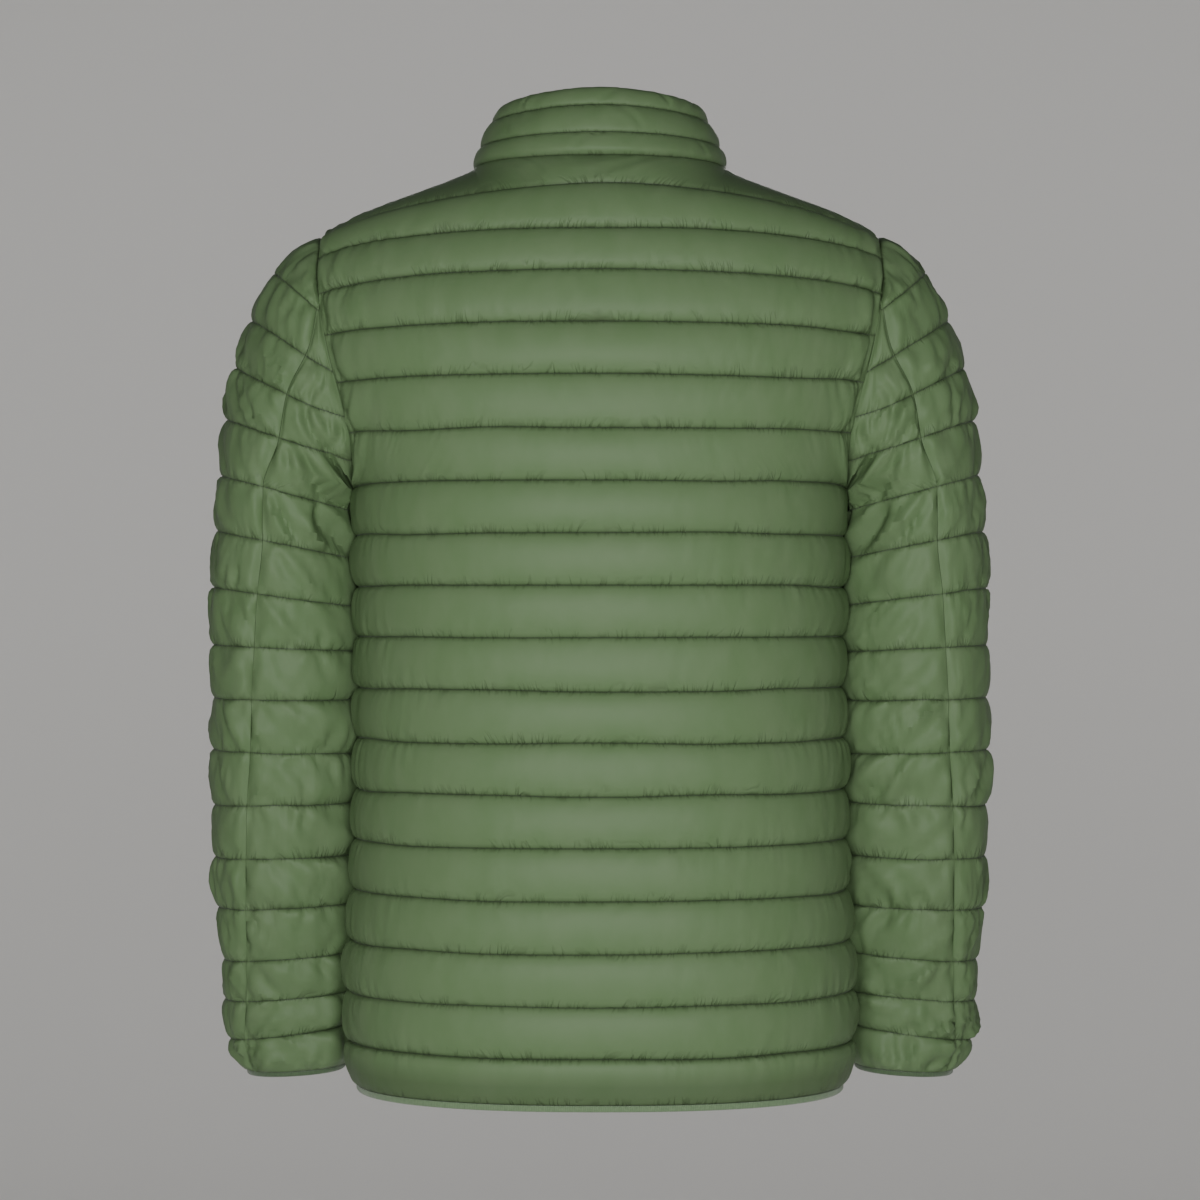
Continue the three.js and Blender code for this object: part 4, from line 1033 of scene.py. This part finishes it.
def sleeve_under_wall(lines, shares, side, seed):
    line, share = np.meshgrid(lines, shares, indexing="ij")
    across = along_rows(sleeve_under_point(line, share, side))
    width = across[:, -1:]
    to_end = width - across
    own = seed + (20 if side > 0 else 40)
    stray = wander(line, across, own + 20, SLEEVE_END) * smooth(across / 25) * smooth(to_end / 25)
    inner = sleeve_under_point(line + stray, share, side)
    seam = sleeve["back_seam" if side > 0 else "front_seam"](line)
    outward = ring_outward(line, side * mix(seam, meets["meet"](line), share))
    edge_way = armhole_outward(meets["turn"](np.minimum(line, UNDERARM_LINE)), side)
    near_edge = clamp01((FREE_RING - line) / (FREE_RING - UNDERARM_LINE))
    across_blend = clamp01((share - ARMHOLE_BLEND) / (1 - ARMHOLE_BLEND))
    outward = unit(mix(outward, edge_way, across_blend * near_edge))
    clear = clear_of_armhole(meets["turn"](np.minimum(line, UNDERARM_LINE)), side)
    inner = inner + clear * (smooth(1 - to_end / 5) * (line <= UNDERARM_LINE))[..., None]
    arm = np.where(line < FREE_RING, seam_fade(1 - share, 0.2), 1)
    free = mix(0.36, 1.7, clamp01(line - 6.6))
    pressed = mix(1, free, clamp01((share - 0.4) / 0.3))
    puff = SLEEVE_PUFF * seam_fade(share, 0.08) * arm * pressed
    loose = mix(1, 0.3, clamp01((share - 0.6) / 0.3)) * smooth(to_end / 9)
    low = smooth((line - 8) / 4)
    lift = puffed(line, side * to_end, puff, seed)
    lift += creases(line, across, width, UNDER_CREASES) * lift_of(line) * smooth((1 - share) / 0.12)
    lift += folds(line, across, own + 30, 10, mix(6, 8, low) * loose, 0.9 * smooth((line - 1) / 2))
    lift += folds(line, across, own + 35, 6, 2 * loose, 0.7)
    lift += gathers(line, across, own + 60, mix(3, 4, low) * loose, 4, 5.5)
    lift += gathers(line, across, own + 75, mix(4, 10, low) * loose, 8, 13)
    lift += gathered(across, line * QUILT_PITCH, 0, own + 90, 3.4, 6, 8) * smooth(to_end / 9)
    lift += 2 * cuff_gather(line, side * to_end, own) * loose
    lift -= armpit_hollow(line, to_end)
    beside = smooth((share - 0.45) / 0.55) * smooth((line - 4.5) / 0.25) * smooth((SLEEVE_END - line) / 2)
    lift += mix(BESIDE_UNDERARM, BESIDE_BODY, clamp01((line - 5) / 3)) * beside
    joined = np.where(line >= UNDERARM_LINE, 1, smooth(to_end / 3))
    lift *= smooth(across / 3) * joined
    inner, outer = skins(inner, outward, lift)
    return inner, outer, np.stack([side * to_end * MM, line], axis=-1)


# %% Sleeves
SLEEVE_ROWS = rows_between(0, SLEEVE_END, 10)
UNDER_ROWS = np.union1d(rows_between(LOBE_TOP, SLEEVE_END, 10), [UNDERARM_LINE])
FIRST_JOINED = int(np.searchsorted(UNDER_ROWS, UNDERARM_LINE))
SLEEVE_SIDES = (("left", 1, 500), ("right", -1, 640))
sleeve_walls = {}
for name, side, seed in SLEEVE_SIDES:
    top = sleeve_top_wall(SLEEVE_ROWS, np.linspace(0, 1, 85), seed)
    make_panel("quilted_sleeve_top_" + name, top, cloths, side)
    shares = np.linspace(0, 1, UNDER_COLUMNS)
    halves = [sleeve_under_wall(UNDER_ROWS, shares, face, seed) for face in (1, -1)]
    under = bmesh.new()
    for half in halves:
        add_wall(under, half, side, lambda r, c: c == UNDER_COLUMNS - 1 and r >= FIRST_JOINED)
    finish_mesh("quilted_sleeve_under_" + name, under, cloths)
    sleeve_walls[name] = (top, halves)

# %% [markdown]
# ## The collar
# Three channels, with longer creases than the body has, because the band is bent round the neck.

# %% Collar
COLLAR_CREASES = rows(
    "line_0 share_0 line_1 share_1 width depth",
    (2.1, -0.2, 2.95, -0.17, 2.2, 1.4),
    (2.1, 0.24, 2.95, 0.2, 2, 1.6),
    (1.1, 0.0, 2.9, -0.06, 2.5, 1),
    (1.1, -0.1, 1.9, -0.03, 2.5, 1.1),
    (0.15, 0.06, 0.9, 0.0, 2.5, 0.9),
    (1.1, 0.26, 1.9, 0.34, 2.5, 1.1),
    (0.15, -0.3, 0.9, -0.26, 2.2, 0.9),
    (1.1, -0.6, 1.9, -0.55, 2.5, 1),
    (2.1, 0.62, 2.9, 0.56, 2.5, 1.1),
    (0.2, 0.75, 0.9, 0.7, 2.5, 0.9),
)
COLLAR_PITCH = 18


def collar_wall(lines, shares, seed):
    line, signed = np.meshgrid(lines, shares, indexing="ij")
    share = np.abs(signed)
    inner = collar_point(line, share)
    outward = outward_of(collar_point, line, share, inner * LEVEL)
    outward = turned_to(outward, neck_outward(share), line * COLLAR_PITCH, 6)
    width = along_rows(collar_point(*np.meshgrid(lines, np.linspace(0, 1, 60), indexing="ij")))[:, -1:]
    to_end = (1 - share) * width
    outward = turned_to(outward, unit(outward * UPRIGHT), to_end)
    outward = turned_to(outward, unit(outward * UPRIGHT), share * width, 4)
    along = neck_point(share + SLOPE_STEP) - neck_point(share - SLOPE_STEP)
    clear = unit(np.cross(along, outward))
    inner = inner + clear * np.sign(clear[..., 2:]) * 0.3 * smooth(1 - line * COLLAR_PITCH / 3)[..., None]
    across = np.sign(signed) * share * width
    lift = COLLAR_PUFF * seam_fade(1 - share, FADE) * lift_of(line)
    lift += folds(line, across, seed + 30, 19, 1.5, -0.3)
    lift += gathers(line, across, seed + 60, 1.0, 3, 6)
    lift += creases(line, across, width, COLLAR_CREASES) * lift_of(line)
    lift *= smooth(to_end / 3)
    inner, outer = skins(inner, outward, lift)
    uv = np.stack([across * MM, line], axis=-1)
    return inner * mirrored_by(signed), outer * mirrored_by(signed), uv


COLLAR_ROWS = rows_between(0, COLLAR_LINES, 10)
collar_panel = collar_wall(COLLAR_ROWS, np.linspace(-1, 1, 211), 800)
make_panel("quilted_collar", collar_panel, cloths)

# %% [markdown]
# ## Elastic bindings
# The hem and the cuffs are bound with a narrow elastic strip, folded over the raw edge so that it shows on
# both sides. It is matt, with fine ribs across it, and is paler than the nylon at the hem and darker at the
# cuffs. A maker would sew it on from a roll, and here its folded section, shaped like a U, is carried along
# the whole edge as one thin wall.

# %% Elastic
def make_elastic(name, deep, pale):
    elastic = Finish(name, Roughness=0.78, Sheen_Weight=0.35, Sheen_Roughness=0.5)
    uv = elastic.node("ShaderNodeUVMap", {"uv_map": PANEL_MAP})
    across = elastic.node("ShaderNodeSeparateXYZ", sockets={0: uv}, output=0)
    ribs = elastic.node("ShaderNodeMath", {"operation": "SINE"}, {0: across * 4800})
    fuzz = elastic.noise(uv, 420, 3)
    elastic.feed("Base Color", elastic.blend((ribs * 0.22 + fuzz).more(0), deep, pale))
    elastic.bump(0.5, 0.0004, ribs * 0.5 + fuzz)
    return elastic.material


hem_elastic = make_elastic("hem_elastic", (0.1, 0.17, 0.08, 1), (0.19, 0.28, 0.15, 1))
cuff_elastic = make_elastic("cuff_elastic", (0.05, 0.09, 0.04, 1), (0.09, 0.15, 0.07, 1))
print("elastics:", hem_elastic.name, "and", cuff_elastic.name)

# %% Folded bands
BAND_WALL, BAND_TOP, BAND_BULGE = 0.8, 0.3, 0.4


def folded_section(height, thick, inset):
    """How far out and how far down a folded strip runs, up to its fold and back."""
    half = thick / 2
    radius = half - inset
    straight = [(inset, BAND_TOP + (height - half - BAND_TOP) * k / 4) for k in range(4)]
    turns = [math.pi * k / 8 for k in range(9)]
    fold = [(half - radius * math.cos(a), height - half + radius * math.sin(a)) for a in turns]
    return np.array(straight + fold + [(thick - out, down) for out, down in reversed(straight)])


def band_wall(edge_inner, edge_outer, height, thick, gather, seed):
    outward = unit((edge_outer - edge_inner) * LEVEL)
    across = along_rows(edge_inner[None])[0]
    ripple = 0.5 * (cloth_noise(across / 4, 0, seed) - 0.5)[None]

    def skin(inset):
        section = folded_section(height, thick, inset)
        out, down = section[:, :1], section[:, 1:]
        proud = (BAND_BULGE + ripple) * np.sin(np.pi * down / height) * (out > thick / 2)
        return edge_inner + outward * (out + proud - gather * down / height)[..., None] - vec(0, 0, down)

    outer, inner = skin(0), skin(BAND_WALL)
    run = along_rows(folded_section(height, thick, 0)[None])[0]
    return inner, outer, np.stack(np.broadcast_arrays(across[None] * MM, run[:, None] * MM), axis=-1)


EDGE_STEP = 1e-6
hem_rows = np.array([HEM_LINE - EDGE_STEP, HEM_LINE])
back_edge = body_wall(hem_rows, np.linspace(-1, 1, 321), 1, 100, [])
front_edge = body_wall(hem_rows, np.linspace(1, 0, 160)[1:], -1, 300, [])
hem_edges = [
    np.concatenate([(front_edge[k][-1] * FLIP)[::-1], back_edge[k][-1], front_edge[k][-1]]) for k in (0, 1)
]
hem_wall = band_wall(*hem_edges, 5, 2.4, 0.3, 61)
hem = make_panel("hem_elastic_band", hem_wall, [hem_elastic, hem_elastic])

# %% Cuff elastics
cuffs = {}
for name, side, seed in SLEEVE_SIDES:
    last = np.array([SLEEVE_END - EDGE_STEP, SLEEVE_END])
    parts = [
        sleeve_top_wall(last, np.linspace(0, 1, 70), seed),
        sleeve_under_wall(last, np.linspace(0, 1, 45)[1:], 1, seed),
        sleeve_under_wall(last, np.linspace(1, 0, 45)[1:], -1, seed),
    ]
    edges = [np.concatenate([part[k][-1] for part in parts]) for k in (0, 1)]
    for edge in edges:
        edge[-1] = edge[0]
    edges[1] = edges[0] + unit((edges[1] - edges[0]) * LEVEL) * SEAM_WALL
    inner, outer, uv = band_wall(*edges, 4, 2, 0.8, seed + 9)
    for skin in (inner, outer):
        skin[:, -1] = skin[:, 0]
    closed = (0, inner.shape[1] - 1)
    wall = (inner, outer, uv)
    cuffs[name] = make_panel(
        "cuff_elastic_" + name, wall, [cuff_elastic, cuff_elastic], side, lambda r, c: c in closed
    )

# %% [markdown]
# ## Sewing
# Every quilting line is lockstitched, about four stitches to the centimetre, in a thread darker than the
# nylon. One stitch is a low bead, and thousands of copies of it are joined into one mesh for each panel. A
# texture would be lighter, but it would not sit down in the groove.

# %% Thread and stitches
STITCH_PITCH, STITCH_SIZE, THREAD_PROUD = 2.4, (1.8, 0.8, 0.7), 0.3
THREAD = [(0.027, 0.045, 0.021, 1), (0.045, 0.075, 0.035, 1)]
quilt_thread = make_grained("quilting_thread", 2600, 2, THREAD, bump=0.4, Roughness=0.6, Sheen_Weight=0.2)


def small_shape(bm):
    points = np.array([v.co[:] for v in bm.verts])
    faces = [[v.index for v in f.verts] for f in bm.faces]
    bm.free()
    return points, faces


def joined_copies(name, corners, faces, material):
    """One mesh of many copies of a small shape, from the corners of each."""
    steps = (np.arange(len(corners)) * corners.shape[1]).tolist()
    joined = [[i + step for i in face] for step in steps for face in faces]
    mesh = bpy.data.meshes.new(name)
    mesh.from_pydata((corners.reshape(-1, 3) * MM).tolist(), [], joined)
    mesh.materials.append(material)
    print(name, len(corners), "copies")
    return add_object(name, mesh)


def spaced(points, pitch):
    """Even places along a line of points, with the way along it at each."""
    run = along_rows(points[None])[0]
    at = np.arange(pitch / 2, run[-1], pitch)

    def read(at):
        return np.stack([np.interp(at, run, points[:, k]) for k in range(3)], axis=1)

    return read(at), unit(read(at + 0.5) - read(at - 0.5))


def stitches(name, rows_of_points):
    bm = bmesh.new()
    bmesh.ops.create_uvsphere(bm, u_segments=4, v_segments=3, radius=0.5)
    shape, faces = small_shape(bm)
    shape = shape[:, [2, 0, 1]] * STITCH_SIZE
    places, ways, outs = [], [], []
    for points, outward in rows_of_points:
        place, way = spaced(points, STITCH_PITCH)
        nearest = np.searchsorted(np.linspace(0, 1, len(points)), np.linspace(0, 1, len(place)))
        places.append(place)
        ways.append(way)
        outs.append(outward[nearest])
    place, way, out = map(np.concatenate, (places, ways, outs))
    across = unit(np.cross(out, way))
    axes = np.stack([way, across, np.cross(way, across)], axis=1)
    piece = joined_copies(name, shape @ axes + place[:, None], faces, quilt_thread)
    piece.data.shade_smooth()
    return piece


def sewn_lines(wall, lines, first, last, side=1):
    """Each line's points on the nylon, with the way out between the two rows beside it."""
    outer = wall[1] * vec(side, 1, 1)
    found = []
    for line in range(first, last + 1):
        r = int(np.argmin(np.abs(lines - line)))
        beside = (outer[r - 2] + outer[r + 2]) / 2
        out = unit(beside - outer[r])[1:-1]
        found.append((outer[r, 1:-1] + out * THREAD_PROUD, out))
    return found


# %% Sew the panels
sewing = [
    stitches("stitching_back", sewn_lines(back_wall, BODY_ROWS, 1, 18)),
    stitches("stitching_collar", sewn_lines(collar_panel, COLLAR_ROWS, 1, 2)),
]
for name, side, seed in SLEEVE_SIDES:
    sewn = sewn_lines(front_walls[name], BODY_ROWS, 1, 18, side)
    sewing.append(stitches("stitching_front_" + name, sewn))
    top, halves = sleeve_walls[name]
    sewn = sewn_lines(top, SLEEVE_ROWS, 1, 16, side)
    for half in halves:
        sewn += sewn_lines(half, UNDER_ROWS, 2, 16, side)
    sewing.append(stitches("stitching_sleeve_" + name, sewn))

# %% [markdown]
# ## Zip
# A woven tape lies behind each front's edge and carries a row of moulded teeth. The teeth of the two sides
# stand half a step apart, so that they lock. The slider and its pull tab are the part's own solids, with a
# metal finish.

# %% Zip tapes and teeth
TAPE_WIDTH, TAPE_WALL, TAPE_INSIDE, ZIP_SLIT, TAPE_STEP = 11, 1.1, 0.9, 0.2, 4
TOOTH_PITCH, TOOTH_SIZE, TOOTH_BEVEL, TOOTH_OUT, TOOTH_ASIDE = 2.4, (2.7, 1.35, 2.3), 0.28, 0.35, 1.45


def zip_path():
    lines = np.arange(HEM_LINE, NECK_LINES - 1, -1.0)
    lowest = hem_edges[0][0] * UPRIGHT - vec(0, 0, 4)
    up = [lowest] + [body_point(np.array(k), np.array(0.0), -1) for k in lines]
    up += [collar_point(float(k), 1.0) for k in range(1, COLLAR_LINES + 1)]
    return np.array(up) * UPRIGHT


def forward_of(way):
    return np.stack([way[:, 0] * 0, -way[:, 2], way[:, 1]], axis=1)


station = zip_path()
fine_path, fine_along = spaced(station, TAPE_STEP)
fine_path = np.concatenate([station[:1], fine_path, station[-1:]])
zip_out = forward_of(np.concatenate([fine_along[:1], fine_along, fine_along[-1:]]))


def make_tape_cloth(deep, pale):
    cloth = Finish("zip_tape_cloth", Roughness=0.82, Sheen_Weight=0.3)
    uv = cloth.node("ShaderNodeUVMap", {"uv_map": PANEL_MAP})
    sockets = {"Vector": uv, "Scale": 330, "Distortion": 1.5}
    weave = cloth.node("ShaderNodeTexWave", {"bands_direction": "Y"}, sockets)
    cloth.feed("Base Color", cloth.blend(weave, deep, pale))
    cloth.bump(0.5, 0.0003, weave)
    return cloth.material


tape_cloth = make_tape_cloth((0.03, 0.055, 0.025, 1), (0.055, 0.095, 0.045, 1))
TEETH_GREEN = [(0.045, 0.08, 0.035, 1), (0.065, 0.11, 0.05, 1)]
moulded = make_grained("moulded_teeth", 700, 2, TEETH_GREEN, spread=0.14, Roughness=0.36)


def make_tape(name, side):
    x = np.linspace(ZIP_SLIT, TAPE_WIDTH, 6)
    outer = fine_path[:, None] - zip_out[:, None] * TAPE_INSIDE + vec(x, 0, 0)
    inner = outer - zip_out[:, None] * TAPE_WALL
    down = np.arange(len(fine_path)) * TAPE_STEP * MM
    uv = np.stack(np.broadcast_arrays(x * MM, down[:, None]), axis=-1)
    return make_panel("zip_tape_cloth_" + name, (inner, outer, uv), [tape_cloth, tape_cloth], side)


def make_teeth(name, side):
    bm = bmesh.new()
    bmesh.ops.create_cube(bm, size=1)
    bmesh.ops.scale(bm, vec=TOOTH_SIZE, verts=bm.verts)
    cut = {"offset": TOOTH_BEVEL, "segments": 1, "profile": 0.5, "affect": "EDGES", "material": -1}
    bmesh.ops.bevel(bm, geom=bm.edges[:], **cut)
    shape, faces = small_shape(bm)
    place, way = spaced(station, TOOTH_PITCH)
    out = forward_of(way)
    place = place + way * (0.5 if side > 0 else -0.1) * TOOTH_PITCH / 2 + out * TOOTH_OUT
    aside = np.broadcast_to(vec(1, 0, 0), way.shape)
    corners = shape @ np.stack([aside, way, out], axis=1)
    middles = place + side * TOOTH_ASIDE * aside
    return joined_copies("zip_teeth_" + name, corners + middles[:, None], faces, moulded)


zips = {name: (make_tape(name, side), make_teeth(name, side)) for name, side, seed in SLEEVE_SIDES}

# %% [markdown]
# ## Slider metal
# The slider and its tab keep their solids, because their shape is already right. They are die cast and
# lacquered, so the finish is a dark metal with a soft, slightly uneven gloss and paler worn patches.

# %% Metal on the slider and the tab
LACQUER = [(0.07, 0.085, 0.06, 1), (0.16, 0.17, 0.14, 1)]
metal = make_grained(
    "lacquered_metal", 260, 4, LACQUER, spread=0.16, bump=0.2, Roughness=0.46, Metallic=0.8
)
for node in ("zip_slider", "zip_pull"):
    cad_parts[node].data.materials.clear()
    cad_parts[node].data.materials.append(metal)

# %% [markdown]
# ## Hang each piece on the jacket
# Each quilted panel, elastic and zip tape hides the plain solid that it stands for, and every piece rides
# on the jacket's body. The quilted panels are padded, and the elastics and the zip's tapes are flat cloth.

paired = ("front", "sleeve_top", "sleeve_under")
quilted = ["back"] + [f"{panel}_{name}" for panel in paired for name in ("left", "right")] + ["collar"]
for node in quilted:
    piece = bpy.data.objects["quilted_" + node]
    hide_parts(node)
    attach(piece, "jacket")

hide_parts("hem_binding")
for name in ("left", "right"):
    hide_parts("cuff_binding_" + name)
    sleeve_top = bpy.data.objects["quilted_sleeve_top_" + name]
    front = bpy.data.objects["quilted_front_" + name]
    tape, teeth = zips[name]
    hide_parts("zip_tape_" + name)
    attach(tape, "jacket")
    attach(teeth, "jacket")
for piece in (hem, cuffs["left"], cuffs["right"]):
    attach(piece, "jacket")
for piece in sewing:
    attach(piece, "jacket")

# %% [markdown]
# ## Floor and light
# A round studio sweep gives a pale floor that rises all round. It stands where a wearer's feet would be. A
# wide, low key light hangs just in front of the camera, which doesn't see it, because the photo's channels
# are brightest in the middle and fall off to deep green above and below. One light shines on the sweep
# behind the jacket, and one on the jacket's front, for the views from there.

# %% Floor
FLOOR_HEIGHT, FLOOR_RADIUS, SWEEP, WALL_TOP, SWEEP_STEPS = -1.5, 3.6, 1.2, 2.6, 12


def make_floor():
    bm = bmesh.new()
    profile = [(0, FLOOR_HEIGHT), (FLOOR_RADIUS, FLOOR_HEIGHT)]
    for k in range(1, SWEEP_STEPS + 1):
        a = math.radians(90 * k / SWEEP_STEPS)
        profile.append((FLOOR_RADIUS + SWEEP * math.sin(a), FLOOR_HEIGHT + SWEEP * (1 - math.cos(a))))
    profile.append((FLOOR_RADIUS + SWEEP, WALL_TOP))
    verts = [bm.verts.new((x, 0, z)) for x, z in profile]
    edges = [bm.edges.new(pair) for pair in zip(verts, verts[1:])]
    turn = {"cent": (0, 0, 0), "axis": (0, 0, 1), "angle": math.tau, "steps": 96}
    bmesh.ops.spin(bm, geom=verts + edges, use_merge=True, **turn)
    bmesh.ops.remove_doubles(bm, verts=bm.verts, dist=1e-6)
    bmesh.ops.recalc_face_normals(bm, faces=bm.faces)
    mesh = bpy.data.meshes.new("studio_floor")
    bm.to_mesh(mesh)
    bm.free()
    mesh.shade_smooth()
    mesh.materials.append(Finish("pale_floor", Roughness=0.9, Base_Color=(0.72, 0.71, 0.69, 1)).material)
    return add_object("studio_floor", mesh)


make_floor()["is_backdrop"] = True

# %% Lights
LIGHTS = rows(
    "name place target size watts",
    ("key", (0.05, 2.2, -0.34), (0, 0, -0.36), (1.2, 0.45), 39),
    ("backdrop", (0, -0.9, 0.9), (0, -4.8, -0.7), (2.5, 1.2), 55),
    ("front", (0, -3.0, 0.3), (0, 0, -0.35), (1.4, 1.0), 34),
)
for row in LIGHTS:
    data = bpy.data.lights.new(row["name"], "AREA")
    data.shape = "RECTANGLE"
    data.size, data.size_y = row["size"]
    data.energy = row["watts"]
    light = add_object(row["name"], data)
    light.location = row["place"]
    ahead = Vector(row["target"]) - Vector(row["place"])
    light.rotation_euler = ahead.to_track_quat("-Z", "Y").to_euler()
    light.visible_camera = False

world = bpy.context.scene.world or bpy.data.worlds.new("studio")
bpy.context.scene.world = world
world.use_nodes = True
sky = world.node_tree.nodes["Background"]
sky.inputs[0].default_value = (0.9, 0.93, 1, 1)
sky.inputs[1].default_value = 0.06

# %% [markdown]
# ## Size of the dressed jacket
# The dressed jacket is meant to keep within the plain solids' box, apart from what cloth may stand proud,
# and both boxes are printed side by side.

# %% Sizes
visual_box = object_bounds()
for name, box in (("solids", cad_box), ("dressed", visual_box)):
    print(name, [round(c * 1000) for c in box[0]], [round(c * 1000) for c in box[1]])
